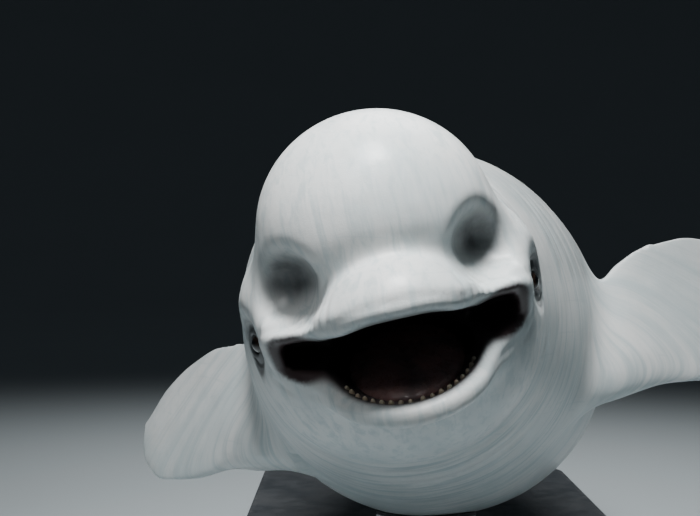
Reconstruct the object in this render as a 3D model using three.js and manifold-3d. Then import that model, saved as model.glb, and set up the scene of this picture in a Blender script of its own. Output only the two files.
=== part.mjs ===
// An adult beluga whale, life size, swimming with its mouth open and banked in a gentle turn, on a display stand.
// Millimetres, +Z up. The whale faces -Y, and the origin is the middle of the stand's underside.

import * as THREE from "three";
import { mergeVertices } from "three/addons/utils/BufferGeometryUtils.js";
import Module from "manifold-3d";

// Places on the whale are given straight and level: u to its left, s back from the snout tip, z up from the spine line.

const GAP = 0.35; // kept between neighbouring solids
const BODY_LENGTH = 4000;

// The spine's heading and climb towards the tail, and the bank, in degrees, at places along it.
const SPINE = {
  step: 10,
  held: { s: 1500, x: 0, y: -380, z: 560 },
  yaw: [[0, 1.5], [430, 1.5], [800, 10], [1300, 9], [2000, 4], [2900, -1], [BODY_LENGTH, -4]],
  climb: [[0, -2.5], [430, -2.5], [800, -8.5], [1400, -7], [2200, -1], [3000, 3], [BODY_LENGTH, 7]],
  bank: [[0, 13], [1600, 13], [BODY_LENGTH, 9]],
};

// Trunk sections at places along the spine: half width, height above the spine line and depth below it.
const TRUNK = {
  width: [[300, 196], [430, 232], [620, 278], [820, 330], [1050, 372], [1300, 392], [1600, 392], [2000, 366],
    [2400, 308], [2800, 226], [3200, 136], [3500, 76], [3700, 44], [3860, 20]],
  top: [[300, 204], [430, 240], [620, 296], [820, 350], [1050, 388], [1300, 402], [1600, 398], [2000, 378],
    [2400, 332], [2800, 266], [3200, 182], [3500, 114], [3700, 66], [3860, 22]],
  bottom: [[300, 190], [430, 230], [620, 282], [820, 336], [1050, 380], [1300, 400], [1600, 398], [2000, 362],
    [2400, 300], [2800, 224], [3200, 150], [3500, 98], [3700, 58], [3860, 20]],
  roundness: [[300, 2.1], [1600, 2.1], [2600, 2.0], [3300, 1.75], [3700, 1.7], [3860, 2]],
  end: 3860,
  tip: 3890,
};
const RING = { around: 32, nearRidge: [-5, 5], spacing: 74 };
const RIDGE = { from: 1780, to: 2480, height: 24, halfWidth: 42 };

// The trunk's nodes, each from the end of the one before it to its own end.
const HEAD_END = 430;
const TRUNK_NODES = [["neck", 760], ["chest", 1330], ["belly", 1960], ["loin", 2700], ["tail_stock", TRUNK.end]];

// The head's flesh, as ellipsoids: middle and radii in u, s and z. A pair is mirrored.
const SKULL = { middle: [0, 290, 12], radii: [222, 212, 212] };
const MELON = { middle: [0, 222, 128], radii: [178, 172, 174] };
const CROWN = { middle: [0, 340, 96], radii: [160, 170, 166] };
const SNOUT = { middle: [0, 112, 12], radii: [100, 108, 76] };
const UPPER_JAW = { middle: [0, 152, 4], radii: [142, 150, 46] };
const CHEEK = { middle: [130, 216, -2], radii: [70, 112, 44] };
const TEMPLE = { middle: [156, 320, 20], radii: [74, 110, 92] };
const THROAT = { middle: [0, 330, -84], radii: [200, 190, 150] };
const NECK = { from: 300, opens: 330, takesOver: 372 };
const LOWER_JAW = { middle: [0, 152, -56], radii: [132, 146, 42] };
const HOLLOW = { middle: [158, 112, 66], radii: [62, 84, 54] };
const ORBIT = { middle: [258, 256, -4], radii: [52, 74, 54] };
const BROW = { depth: 9, width: 26, from: 90, to: 170 };

// The open mouth: the jaw turns about a line through its corners, and pockets hollow it inside.
const GAPE = { pivot: [216, -22], angle: THREE.MathUtils.degToRad(28) };
const LIP = { upper: -13, lower: -30, droop: 11, droopAt: 90, droopWidth: 32, edge: 18 };
const PALATE = { middle: [0, 152, -26], radii: [108, 130, 40] };
const JAW_BED = { middle: [0, 150, -28], radii: [108, 124, 42] };
const GULLET = { middle: [0, 236, -72], radii: [112, 90, 44] };
const WEB = { start: [148, -15], slope: THREE.MathUtils.degToRad(50), inside: 164, edge: 12 };
const JAW_CUT = { through: [238, -25], mouth: THREE.MathUtils.degToRad(13), cheek: THREE.MathUtils.degToRad(46) };

const TEETH = { perSide: 8, arc: [6, 66], inset: 27, radius: 6.5, height: 9, sunk: 12, sides: 6 };
const TONGUE = { middle: [0, 168, -58], radii: [86, 106, 22] };
const EYE = { at: [300, -3], radius: 20, sunk: 10 };
const LID = { across: 25, tall: 20, thick: 6.5, tilt: THREE.MathUtils.degToRad(-14) };
const BLOWHOLE = { s: 400, u: 12, radius: 46, arc: THREE.MathUtils.degToRad(140), slit: 5, depth: 16 };

// The head's grid: cell sizes wanted at places along u, s and z, and how far it runs past the head's end.
const HEAD_GRID = {
  u: [[0, 24], [130, 19], [290, 26]],
  s: [[-30, 15], [120, 20], [300, 26], [570, 30]],
  z: [[-300, 30], [-180, 19], [-20, 15.5], [70, 21], [340, 34]],
  past: 100,
};
const EVENING = 4; // the most that a surface point moves each time that the points are spread evenly

// Flipper blades: the root on the chest, and the outline on each side of the blade's middle line.
const FLIPPER = {
  s: 1000,
  angle: THREE.MathUtils.degToRad(-19),
  inside: 120,
  length: 455,
  leading: [[0, 108], [0.2, 104], [0.5, 126], [0.75, 130], [0.9, 98], [0.97, 56], [1, 12]],
  trailing: [[0, 104], [0.12, 126], [0.28, 172], [0.46, 194], [0.62, 192], [0.8, 154], [0.93, 90], [1, 10]],
  thickness: [[0, 92], [0.25, 66], [0.6, 36], [0.9, 20], [1, 9]],
  curl: 40,
  sections: 14,
  around: 16,
};
const FLIPPER_SET = {
  left: { sweep: THREE.MathUtils.degToRad(24), pitch: THREE.MathUtils.degToRad(76), lift: THREE.MathUtils.degToRad(5) },
  right: { sweep: THREE.MathUtils.degToRad(42), pitch: THREE.MathUtils.degToRad(68), lift: THREE.MathUtils.degToRad(9) },
};

// Fluke lobes, spanwise from the middle line: places of both edges along the spine, and thickness.
const FLUKE = {
  span: 500,
  leading: [[0, 3640], [0.12, 3690], [0.35, 3770], [0.65, 3870], [0.88, 3962], [1, 4026]],
  trailing: [[0, 3946], [0.08, 3980], [0.28, 4046], [0.52, 4080], [0.78, 4084], [0.93, 4068], [1, 4044]],
  thickness: [[0, 66], [0.15, 50], [0.45, 26], [0.8, 12], [1, 6]],
  droop: 30,
  sections: 12,
  around: 14,
};

const BASE = { length: 1900, width: 1040, thick: 36, corner: 90, chamfer: 8 };
const ROD = { radius: 32, places: [1150, 2260], saddle: 110, saddleDeep: 90, sides: 24 };
const COLLAR = { radius: 92, thick: 18, neck: 46, neckHeight: 52, bolts: 4, boltCircle: 72, boltRadius: 9, boltHead: 8 };

const COLOURS = { skin: 0xe9edec, eye: 0x17181a, mouth: 0xc9a6a3, steel: 0xa9adb0, base: 0x2f3336 };

const { degToRad, clamp, smoothstep } = THREE.MathUtils;

// Maths

/** A smooth curve through [place, value] pairs, which never overshoots them. */
function curveThrough(knots) {
  const at = knots.map(([place]) => place);
  const value = knots.map(([, v]) => v);
  const slopes = at.slice(1).map((place, i) => (value[i + 1] - value[i]) / (place - at[i]));
  const bend = value.map((_, i) => {
    if (i === 0) return slopes[0];
    if (i === value.length - 1) return slopes[i - 1];
    const [before, after] = [slopes[i - 1], slopes[i]];
    return before * after > 0 ? (2 * before * after) / (before + after) : 0;
  });
  return (place) => {
    const x = clamp(place, at[0], at[at.length - 1]);
    let i = 0;
    while (i < at.length - 2 && x > at[i + 1]) i++;
    const width = at[i + 1] - at[i];
    const t = (x - at[i]) / width;
    const rise = t * t * (3 - 2 * t);
    const early = t * (1 - t) * (1 - t) * width;
    const late = t * t * (t - 1) * width;
    return value[i] + rise * (value[i + 1] - value[i]) + early * bend[i] + late * bend[i + 1];
  };
}

/** The lower of two values, blended where they are within `soft` of each other. */
function blendMin(a, b, soft) {
  const near = Math.max(soft - Math.abs(a - b), 0) / soft;
  return Math.min(a, b) - (near * near * soft) / 4;
}

const blendMax = (a, b, soft) => -blendMin(-a, -b, soft);

/** About the distance from a point to an ellipsoid, negative inside. */
function ellipsoid(u, s, z, { middle, radii }) {
  const [a, b, c] = [u - middle[0], s - middle[1], z - middle[2]];
  const scaled = Math.hypot(a / radii[0], b / radii[1], c / radii[2]);
  const slope = Math.hypot(a / radii[0] ** 2, b / radii[1] ** 2, c / radii[2] ** 2);
  return slope < 1e-9 ? -Math.min(...radii) : (scaled * (scaled - 1)) / slope;
}

// The spine

const spineCurves = {
  yaw: curveThrough(SPINE.yaw),
  climb: curveThrough(SPINE.climb),
  bank: curveThrough(SPINE.bank),
};

/** Unit vectors at a place on the spine: back towards the tail, to the whale's left, and up out of its back. */
function spineAxes(s) {
  const [yaw, climb, bank] = ["yaw", "climb", "bank"].map((name) => degToRad(spineCurves[name](s)));
  const back = new THREE.Vector3(Math.sin(yaw) * Math.cos(climb), Math.cos(yaw) * Math.cos(climb), Math.sin(climb));
  const level = new THREE.Vector3(Math.cos(yaw), -Math.sin(yaw), 0);
  const upright = new THREE.Vector3().crossVectors(level, back);
  const left = level.clone().multiplyScalar(Math.cos(bank)).addScaledVector(upright, Math.sin(bank));
  const up = upright.multiplyScalar(Math.cos(bank)).addScaledVector(level, -Math.sin(bank));
  return { back, left, up };
}

/** The spine's points every step, from a straight run ahead of the snout to past the flukes. */
const spinePoints = (() => {
  const points = [new THREE.Vector3()];
  for (let s = SPINE.step; s <= BODY_LENGTH + 200; s += SPINE.step) {
    const middle = spineAxes(s - SPINE.step / 2).back;
    points.push(points[points.length - 1].clone().addScaledVector(middle, SPINE.step));
  }
  const held = points[SPINE.held.s / SPINE.step].clone();
  const shift = new THREE.Vector3(SPINE.held.x, SPINE.held.y, SPINE.held.z).sub(held);
  return points.map((point) => point.add(shift));
})();

function spinePoint(s) {
  if (s <= 0) return spinePoints[0].clone().addScaledVector(spineAxes(0).back, s);
  const i = Math.min(Math.floor(s / SPINE.step), spinePoints.length - 2);
  return spinePoints[i].clone().lerp(spinePoints[i + 1], s / SPINE.step - i);
}

/** A place on the straight whale, carried to the posed one. */
function posed(u, s, z) {
  const { left, up } = spineAxes(s);
  return spinePoint(s).addScaledVector(left, u).addScaledVector(up, z);
}

// The trunk

const trunkCurves = Object.fromEntries(
  ["width", "top", "bottom", "roundness"].map((name) => [name, curveThrough(TRUNK[name])]),
);

/** The trunk's radius at a place along the spine, in a direction around it. */
function trunkRadius(s, angle) {
  const [across, aloft] = [Math.cos(angle), Math.sin(angle)];
  const height = aloft > 0 ? trunkCurves.top(s) : trunkCurves.bottom(s);
  const power = trunkCurves.roundness(s);
  const scaled = Math.abs(across / trunkCurves.width(s)) ** power + Math.abs(aloft / height) ** power;
  return scaled ** (-1 / power) + ridgeHeight(s, angle);
}

/** The low ridge along the back that a beluga has where other whales have a fin. */
function ridgeHeight(s, angle) {
  const along = (s - RIDGE.from) / (RIDGE.to - RIDGE.from);
  if (along <= 0 || along >= 1 || Math.sin(angle) <= 0) return 0;
  const aside = Math.min(Math.abs(Math.cos(angle)) * trunkCurves.top(s) / RIDGE.halfWidth, 1);
  return RIDGE.height * Math.sin(Math.PI * along) ** 0.6 * (0.5 + 0.5 * Math.cos(Math.PI * aside));
}

const ringAngles = [...Array(RING.around).keys()]
  .map((i) => (360 * i) / RING.around - 90)
  .concat(RING.nearRidge.map((offset) => 90 + offset))
  .sort((a, b) => a - b)
  .map(degToRad);

/** One ring of the trunk's surface, `grow` outside it. */
function trunkRing(s, grow = 0) {
  return ringAngles.map((angle) => {
    const radius = trunkRadius(s, angle) + grow;
    return posed(radius * Math.cos(angle), s, radius * Math.sin(angle));
  });
}

// Surfaces

/** A closed body through rings of points, with a flat fan or a tip point at each end. */
function loft(rings, tips = {}) {
  const around = rings[0].length;
  const middleOf = (ring) => ring.reduce((sum, p) => sum.add(p), new THREE.Vector3()).divideScalar(around);
  const points = rings.flat();
  const ends = [tips.start ?? middleOf(rings[0]), tips.end ?? middleOf(rings[rings.length - 1])];
  const faces = [];
  for (let i = 0; i < around; i++) {
    const next = (i + 1) % around;
    const last = (rings.length - 1) * around;
    faces.push([points.length, next, i], [points.length + 1, last + i, last + next]);
    for (let row = 0; row < rings.length - 1; row++) {
      const [a, b] = [row * around + i, row * around + next];
      const [c, d] = [b + around, a + around];
      faces.push([a, b, c], [a, c, d]);
    }
  }
  return facingOut([...points, ...ends], faces);
}

/** An indexed geometry whose faces point out of the closed body that they make. */
function facingOut(points, faces) {
  const volume = faces.reduce((sum, [a, b, c]) => {
    const normal = new THREE.Vector3().crossVectors(points[b], points[c]);
    return sum + points[a].dot(normal);
  }, 0);
  const index = faces.flatMap(([a, b, c]) => (volume > 0 ? [a, b, c] : [a, c, b]));
  const positions = points.flatMap((p) => [p.x, p.y, p.z]);
  return new THREE.BufferGeometry()
    .setAttribute("position", new THREE.Float32BufferAttribute(positions, 3))
    .setIndex(index);
}

/** The direction in which a field rises fastest, and how fast. */
function gradient(field, [u, s, z]) {
  const reach = 0.5;
  return [
    (field(u + reach, s, z) - field(u - reach, s, z)) / (2 * reach),
    (field(u, s + reach, z) - field(u, s - reach, z)) / (2 * reach),
    (field(u, s, z + reach) - field(u, s, z - reach)) / (2 * reach),
  ];
}

/** Moves a point along the field's slope until the field there is zero, by at most `most`. */
function settle(field, point, most) {
  let at = point;
  for (let round = 0; round < 5; round++) {
    const slope = gradient(field, at);
    const steep = slope[0] ** 2 + slope[1] ** 2 + slope[2] ** 2;
    const step = clamp(field(...at) / Math.max(steep, 0.05), -most, most);
    at = at.map((value, axis) => value - step * slope[axis]);
  }
  const moved = Math.hypot(...at.map((value, axis) => value - point[axis]));
  const share = Math.min(1, most / Math.max(moved, 1e-9));
  return at.map((value, axis) => point[axis] + share * (value - point[axis]));
}

/** Grid lines from one end of a list of [place, cell size] pairs to the other. */
function gridLines(knots) {
  const size = curveThrough(knots);
  const lines = [knots[0][0]];
  while (lines[lines.length - 1] < knots[knots.length - 1][0]) {
    const last = lines[lines.length - 1];
    lines.push(last + size(last));
  }
  return lines;
}

/** The closed surface where a field is zero: one point for each grid cell that it crosses, joined across cell walls. */
function surfaceOf(field, lines) {
  const count = lines.map((axis) => axis.length);
  const indexOf = (i, j, k) => (i * count[1] + j) * count[2] + k;
  const values = new Float64Array(count[0] * count[1] * count[2]);
  lines[0].forEach((u, i) => lines[1].forEach((s, j) => lines[2].forEach((z, k) => {
    values[indexOf(i, j, k)] = field(u, s, z);
  })));

  const corners = [...Array(8).keys()].map((n) => [n & 1, (n >> 1) & 1, (n >> 2) & 1]);
  const edges = [];
  corners.forEach((a, n) => corners.forEach((b, m) => {
    if (m > n && a.filter((value, axis) => value !== b[axis]).length === 1) edges.push([n, m]);
  }));

  const pointOfCell = new Map();
  const points = [];
  for (let i = 0; i < count[0] - 1; i++)
    for (let j = 0; j < count[1] - 1; j++)
      for (let k = 0; k < count[2] - 1; k++) {
        const here = corners.map(([a, b, c]) => values[indexOf(i + a, j + b, k + c)]);
        if (here.every((v) => v > 0) || here.every((v) => v <= 0)) continue;
        const crossings = edges
          .filter(([n, m]) => here[n] > 0 !== here[m] > 0)
          .map(([n, m]) => {
            const t = here[n] / (here[n] - here[m]);
            return corners[n].map((value, axis) => value + t * (corners[m][axis] - value));
          });
        const start = [i, j, k].map((n, axis) => {
          const mean = crossings.reduce((sum, c) => sum + c[axis], 0) / crossings.length;
          return lines[axis][n] + mean * (lines[axis][n + 1] - lines[axis][n]);
        });
        const cell = Math.min(...[i, j, k].map((n, axis) => lines[axis][n + 1] - lines[axis][n]));
        pointOfCell.set(indexOf(i, j, k), points.length);
        points.push(settle(field, start, 0.3 * cell));
      }

  const faces = [];
  const wallOf = [[[0, 1, 0], [0, 0, 1]], [[0, 0, 1], [1, 0, 0]], [[1, 0, 0], [0, 1, 0]]];
  const far = (a, b) => Math.hypot(...points[a].map((value, axis) => value - points[b][axis]));
  for (let i = 1; i < count[0] - 1; i++)
    for (let j = 1; j < count[1] - 1; j++)
      for (let k = 1; k < count[2] - 1; k++)
        for (let axis = 0; axis < 3; axis++) {
          const ahead = [i, j, k].map((value, n) => value + (n === axis ? 1 : 0));
          const inside = values[indexOf(i, j, k)] <= 0;
          if (inside === values[indexOf(...ahead)] <= 0) continue;
          const [p, q] = wallOf[axis];
          const quad = [[1, 1], [0, 1], [0, 0], [1, 0]].map(([m, n]) =>
            pointOfCell.get(indexOf(...[i, j, k].map((value, a) => value - m * p[a] - n * q[a]))));
          if (!inside) quad.reverse();
          const [a, b, c, d] = quad;
          if (far(a, c) < far(b, d)) faces.push([a, b, c], [a, c, d]);
          else faces.push([a, b, d], [b, c, d]);
        }
  return facingOut(evened(field, points, faces).map((p) => posed(...p)), faces);
}

/** Points spread more evenly over the surface: each goes part of the way to its neighbours' middle, then back to zero. */
function evened(field, points, faces, rounds = 4) {
  const near = points.map(() => new Set());
  for (const face of faces) face.forEach((n, i) => near[n].add(face[(i + 1) % 3]).add(face[(i + 2) % 3]));
  let at = points;
  for (let round = 0; round < rounds; round++)
    at = at.map((point, n) => {
      const around = [...near[n]];
      const middle = point.map((_, axis) => around.reduce((sum, m) => sum + at[m][axis], 0) / around.length);
      return settle(field, point.map((value, axis) => (value + middle[axis]) / 2), EVENING);
    });
  return at;
}

// The head

/** A point turned about the mouth's corners, from where the open jaw is to where it is when shut. */
function shutJaw(s, z) {
  const [ahead, above] = [s - GAPE.pivot[0], z - GAPE.pivot[1]];
  const [cos, sin] = [Math.cos(GAPE.angle), Math.sin(GAPE.angle)];
  return [GAPE.pivot[0] + ahead * cos + above * sin, GAPE.pivot[1] - ahead * sin + above * cos];
}

/** The same turn the other way, for what is placed on the shut jaw. */
function openJaw(s, z) {
  const [ahead, above] = [s - GAPE.pivot[0], z - GAPE.pivot[1]];
  const [cos, sin] = [Math.cos(GAPE.angle), Math.sin(GAPE.angle)];
  return [GAPE.pivot[0] + ahead * cos - above * sin, GAPE.pivot[1] + ahead * sin + above * cos];
}

/** The trunk as a field: about the distance outside its sections. */
const trunkField = (u, s, z) => Math.hypot(u, z) - trunkRadius(Math.max(s, NECK.from), Math.atan2(z, u));

const neckField = (u, s, z) => Math.max(trunkField(u, s, z), NECK.opens - s);

/** How deep the crease is that parts the melon from the snout. */
function browCrease(u, s, z) {
  const aside = (ellipsoid(u, s, z, MELON) - ellipsoid(u, s, z, SNOUT)) / BROW.width;
  return BROW.depth * Math.exp(-aside * aside) * (1 - smoothstep(s, BROW.from, BROW.to));
}

function headFlesh(u, s, z) {
  const side = Math.abs(u);
  const [shutS, shutZ] = shutJaw(s, z);
  let field = blendMin(ellipsoid(u, s, z, SKULL), neckField(u, s, z), 60);
  field = blendMin(field, ellipsoid(u, s, z, THROAT), 40);
  field = blendMin(field, ellipsoid(side, s, z, TEMPLE), 50);
  field = blendMin(field, ellipsoid(u, shutS, shutZ, LOWER_JAW), 34);
  const jaw = blendMin(ellipsoid(u, s, z, UPPER_JAW), ellipsoid(side, s, z, CHEEK), 40);
  field = blendMin(field, jaw, 30);
  field = blendMin(field, blendMin(ellipsoid(u, s, z, MELON), ellipsoid(u, s, z, CROWN), 40), 36);
  field = blendMax(field, -ellipsoid(side, s, z, HOLLOW), 24);
  field = blendMax(field, -ellipsoid(side, s, z, ORBIT), 30);
  field = blendMin(field, ellipsoid(u, s, z, SNOUT), 30) + browCrease(u, s, z);
  const share = smoothstep(s, NECK.takesOver, HEAD_END);
  return field + share * (trunkField(u, s, z) - field);
}

/** The lower edge of the upper lip, which droops a little on each side. */
function upperLip(u) {
  const aside = (Math.abs(u) - LIP.droopAt) / LIP.droopWidth;
  return LIP.upper - LIP.droop * Math.exp(-aside * aside);
}

/** The skin stretched between the jaws at the mouth's corners: how far a place lies inside it. */
function cheekWeb(u, s, z) {
  const [ahead, below] = [s - WEB.start[0], WEB.start[1] - z];
  const behind = ahead * Math.sin(WEB.slope) - below * Math.cos(WEB.slope);
  return blendMin(behind, Math.abs(u) - WEB.inside, WEB.edge);
}

function mouthField(u, s, z) {
  const [shutS, shutZ] = shutJaw(s, z);
  const between = blendMax(z - upperLip(u), LIP.lower - shutZ, LIP.edge);
  let field = blendMin(between, ellipsoid(u, s, z, PALATE), 12);
  field = blendMin(field, ellipsoid(u, shutS, shutZ, JAW_BED), 12);
  field = blendMin(field, ellipsoid(u, s, z, GULLET), 20);
  return blendMax(field, cheekWeb(u, s, z), WEB.edge);
}

function headField(u, s, z) {
  return Math.max(blendMax(headFlesh(u, s, z), -mouthField(u, s, z), LIP.edge), s - HEAD_END - HEAD_GRID.past);
}

// Solids

const wasm = await Module();
wasm.setup();

/** A geometry as a solid that can be joined and cut. */
function solidOf(geometry) {
  const bare = new THREE.BufferGeometry().setAttribute("position", geometry.getAttribute("position"));
  if (geometry.index) bare.setIndex(geometry.index);
  const merged = mergeVertices(bare, 1e-3);
  return new wasm.Manifold(new wasm.Mesh({
    numProp: 3,
    vertProperties: merged.getAttribute("position").array,
    triVerts: new Uint32Array(merged.index.array),
  }));
}

/** The largest closed surface of a solid, as a geometry. */
function geometryOf(solid) {
  const pieces = solid.decompose();
  const largest = pieces.reduce((best, piece) => (piece.volume() > best.volume() ? piece : best));
  const mesh = largest.getMesh();
  return new THREE.BufferGeometry()
    .setAttribute("position", new THREE.BufferAttribute(mesh.vertProperties, 3))
    .setIndex(new THREE.BufferAttribute(mesh.triVerts, 1));
}

const REACH = 700;

/** A wide slab across the straight head, from an outline in s and z. */
function headSlab(outline, [lowU, highU] = [-REACH, REACH]) {
  return solidOf(loft([lowU, highU].map((u) => outline.map(([s, z]) => posed(u, s, z)))));
}

/** A geometry built round the origin, set at a place on the straight head with its z axis along `facing`. */
function setOnHead(geometry, at, facing, spin = 0) {
  const turn = new THREE.Quaternion().setFromUnitVectors(new THREE.Vector3(0, 0, 1), facing.clone().normalize());
  const local = geometry.clone().rotateZ(spin).applyQuaternion(turn).translate(...at);
  const { back, left, up } = spineAxes(0);
  const frame = new THREE.Matrix4().makeBasis(left, back, up).setPosition(spinePoint(0));
  return solidOf(local.applyMatrix4(frame));
}

/** Goes from a place along a direction until a field changes sign. */
function marchTo(field, from, direction, step = 2, most = 400) {
  const at = (reach) => from.map((value, axis) => value + reach * direction[axis]);
  const started = field(...from) > 0;
  let reach = 0;
  while (field(...at(reach)) > 0 === started && reach < most) reach += step;
  let [low, high] = [reach - step, reach];
  for (let round = 0; round < 20; round++) {
    const middle = (low + high) / 2;
    if (field(...at(middle)) > 0 === started) low = middle;
    else high = middle;
  }
  return at(high);
}

// Head pieces

const onePeg = (() => {
  const { radius, height, sunk, sides } = TEETH;
  const outline = [[0, -sunk], [radius * 0.9, -sunk], [radius, 0], [radius * 0.78, height * 0.72], [0, height]];
  return new THREE.LatheGeometry(outline.map(([x, y]) => new THREE.Vector2(x, y)), sides).rotateX(Math.PI / 2);
})();

/** One jaw's teeth, in an arc inside its lips. `turned` carries a place on the shut jaw to where it is. */
function teeth(jaw, startZ, upwards, turned) {
  const [first, last] = TEETH.arc.map(degToRad);
  const pegs = [];
  for (let i = 0; i < TEETH.perSide; i++)
    for (const side of [-1, 1]) {
      const angle = first + ((last - first) * i) / (TEETH.perSide - 1);
      const u = side * (jaw.radii[0] - TEETH.inset) * Math.sin(angle);
      const s = jaw.middle[1] - (jaw.radii[1] - TEETH.inset) * Math.cos(angle);
      const start = turned(s, startZ);
      const ahead = turned(s, startZ + upwards);
      const growth = [0, ahead[0] - start[0], ahead[1] - start[1]];
      const gum = marchTo(headField, [u, ...start], growth.map((value) => -value), 1);
      pegs.push(setOnHead(onePeg, gum, new THREE.Vector3(...growth)));
    }
  return pegs;
}

/** Both eyes' places: where the ball's middle is, and which way the eye looks. */
const eyes = [1, -1].map((side) => {
  const skin = marchTo(headFlesh, [0, ...EYE.at], [side, 0, 0]);
  const facing = new THREE.Vector3(...gradient(headFlesh, skin)).normalize();
  const ball = new THREE.Vector3(...skin).addScaledVector(facing, -EYE.sunk).toArray();
  return { side, skin, facing, ball };
});

/** An oval ring of skin round an eye. */
function lid({ side, skin, facing }) {
  const ring = new THREE.TorusGeometry(1, 0.3, 6, 18);
  const oval = ring.scale(LID.across, LID.tall, LID.thick / 0.3);
  return setOnHead(oval, skin, facing, Math.PI / 2 + side * LID.tilt);
}

/** The blowhole: a crescent slit across the top of the head, open towards the back. */
function blowhole() {
  const steps = 12;
  const crescent = (grow) => [...Array(steps + 1).keys()].map((i) => {
    const across = i / steps - 0.5;
    const angle = -Math.PI / 2 + across * BLOWHOLE.arc;
    const radius = BLOWHOLE.radius + grow * BLOWHOLE.slit * (0.3 + Math.cos(Math.PI * across));
    return new THREE.Vector2(radius * Math.cos(angle), radius * Math.sin(angle));
  });
  const shape = new THREE.Shape([...crescent(0.5), ...crescent(-0.5).reverse()]);
  const groove = new THREE.ExtrudeGeometry(shape, { depth: 60, bevelEnabled: false }).translate(0, 0, -BLOWHOLE.depth);
  const top = marchTo(headFlesh, [BLOWHOLE.u, BLOWHOLE.s, 60], [0, 0, 1]);
  const middle = [top[0], top[1] + BLOWHOLE.radius * 0.6, top[2]];
  return setOnHead(groove, middle, new THREE.Vector3(...gradient(headFlesh, top)));
}

/** The space that the lower jaw fills: below a plane through the open mouth and one down the back of the cheeks. */
function jawSpace(lower) {
  const corner = new THREE.Vector2(...JAW_CUT.through);
  const ahead = new THREE.Vector2(-Math.cos(JAW_CUT.mouth), -Math.sin(JAW_CUT.mouth));
  const behind = new THREE.Vector2(Math.cos(JAW_CUT.cheek), -Math.sin(JAW_CUT.cheek));
  const [under, inner] = [new THREE.Vector2(-ahead.y, ahead.x), new THREE.Vector2(behind.y, -behind.x)];
  const start = corner.clone().addScaledVector(under.clone().add(inner), lower / (1 + under.dot(inner)));
  const [front, back] = [start.clone().addScaledVector(ahead, REACH), start.clone().addScaledVector(behind, 1.5 * REACH)];
  return headSlab([start, front, new THREE.Vector2(front.x, back.y), back].map((corner) => corner.toArray()));
}

const headLines = [gridLines(HEAD_GRID.u), gridLines(HEAD_GRID.s), gridLines(HEAD_GRID.z)];
headLines[0] = [...headLines[0].slice(1).reverse().map((u) => -u), ...headLines[0]];

const wholeHead = solidOf(surfaceOf(headField, headLines))
  .subtract(headSlab([[HEAD_END - GAP / 2, -REACH], [HEAD_END + REACH, -REACH], [HEAD_END + REACH, REACH],
    [HEAD_END - GAP / 2, REACH]]));

let jaw = wholeHead.intersect(jawSpace(GAP));
let head = wholeHead.subtract(jawSpace(0));
for (const peg of teeth(UPPER_JAW, LIP.upper - 24, -1, (s, z) => [s, z])) head = head.add(peg);
for (const peg of teeth(LOWER_JAW, LIP.lower + 30, 1, openJaw)) jaw = jaw.add(peg);
for (const eye of eyes) {
  const socket = new THREE.SphereGeometry(EYE.radius + GAP, 14, 9);
  head = head.add(lid(eye)).subtract(setOnHead(socket, eye.ball, eye.facing));
}
head = head.subtract(blowhole());

/** The tongue, lying in the lower jaw. */
function tongueSolid() {
  const [openS, openZ] = openJaw(TONGUE.middle[1], TONGUE.middle[2]);
  const local = new THREE.SphereGeometry(1, 18, 10)
    .scale(...TONGUE.radii)
    .rotateX(GAPE.angle);
  const ball = setOnHead(local, [TONGUE.middle[0], openS, openZ], new THREE.Vector3(0, 0, 1));
  const { back, up } = spineAxes(0);
  const clear = up.clone().multiplyScalar(Math.cos(GAPE.angle)).addScaledVector(back, -Math.sin(GAPE.angle));
  const raised = jaw.translate(clear.multiplyScalar(2 * GAP).toArray());
  return ball.subtract(raised).subtract(head);
}

// Fins

/** One ring round a blade's section: an oval, thinner towards the trailing edge. */
function sectionRing(around, place) {
  return [...Array(around).keys()].map((i) => {
    const angle = (2 * Math.PI * i) / around;
    return place(Math.cos(angle), Math.sin(angle) * (1 - 0.35 * Math.cos(angle)));
  });
}

/** Places from 0 to 1, closer together near the end. */
const spanwise = (count) => [...Array(count + 1).keys()].map((i) => Math.sin((Math.PI / 2) * (i / count)) ** 1.15);

function flipper(side, { sweep, pitch, lift }) {
  const edge = Object.fromEntries(["leading", "trailing", "thickness"].map((key) => [key, curveThrough(FLIPPER[key])]));
  const { back, left, up } = spineAxes(FLIPPER.s);
  const radius = trunkRadius(FLIPPER.s, FLIPPER.angle);
  const root = posed(side * radius * Math.cos(FLIPPER.angle), FLIPPER.s, radius * Math.sin(FLIPPER.angle));
  const span = left.clone().multiplyScalar(side * Math.cos(lift)).addScaledVector(up, Math.sin(lift))
    .multiplyScalar(Math.cos(sweep)).addScaledVector(back, Math.sin(sweep));
  const flat = back.clone().addScaledVector(span, -back.dot(span)).normalize();
  const upright = new THREE.Vector3().crossVectors(flat, span).multiplyScalar(side).normalize();
  if (upright.dot(up) < 0) upright.negate();
  const chord = flat.clone().multiplyScalar(Math.cos(pitch)).addScaledVector(upright, Math.sin(pitch));
  const face = upright.clone().multiplyScalar(Math.cos(pitch)).addScaledVector(flat, -Math.sin(pitch));
  const reach = FLIPPER.length + FLIPPER.inside;
  const rings = spanwise(FLIPPER.sections).map((t) => {
    const out = t * reach - FLIPPER.inside;
    const place = Math.max(out, 0) / FLIPPER.length;
    const middle = root.clone().addScaledVector(span, out).addScaledVector(face, FLIPPER.curl * place ** 3);
    const [ahead, behind] = [edge.leading(place), edge.trailing(place)];
    const thick = edge.thickness(place) / 2;
    return sectionRing(FLIPPER.around, (c, n) => middle.clone()
      .addScaledVector(chord, c * (ahead + behind) / 2 + (behind - ahead) / 2)
      .addScaledVector(face, n * thick));
  });
  return solidOf(loft(rings)).subtract(trunkSolids.chest.grown);
}

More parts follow.
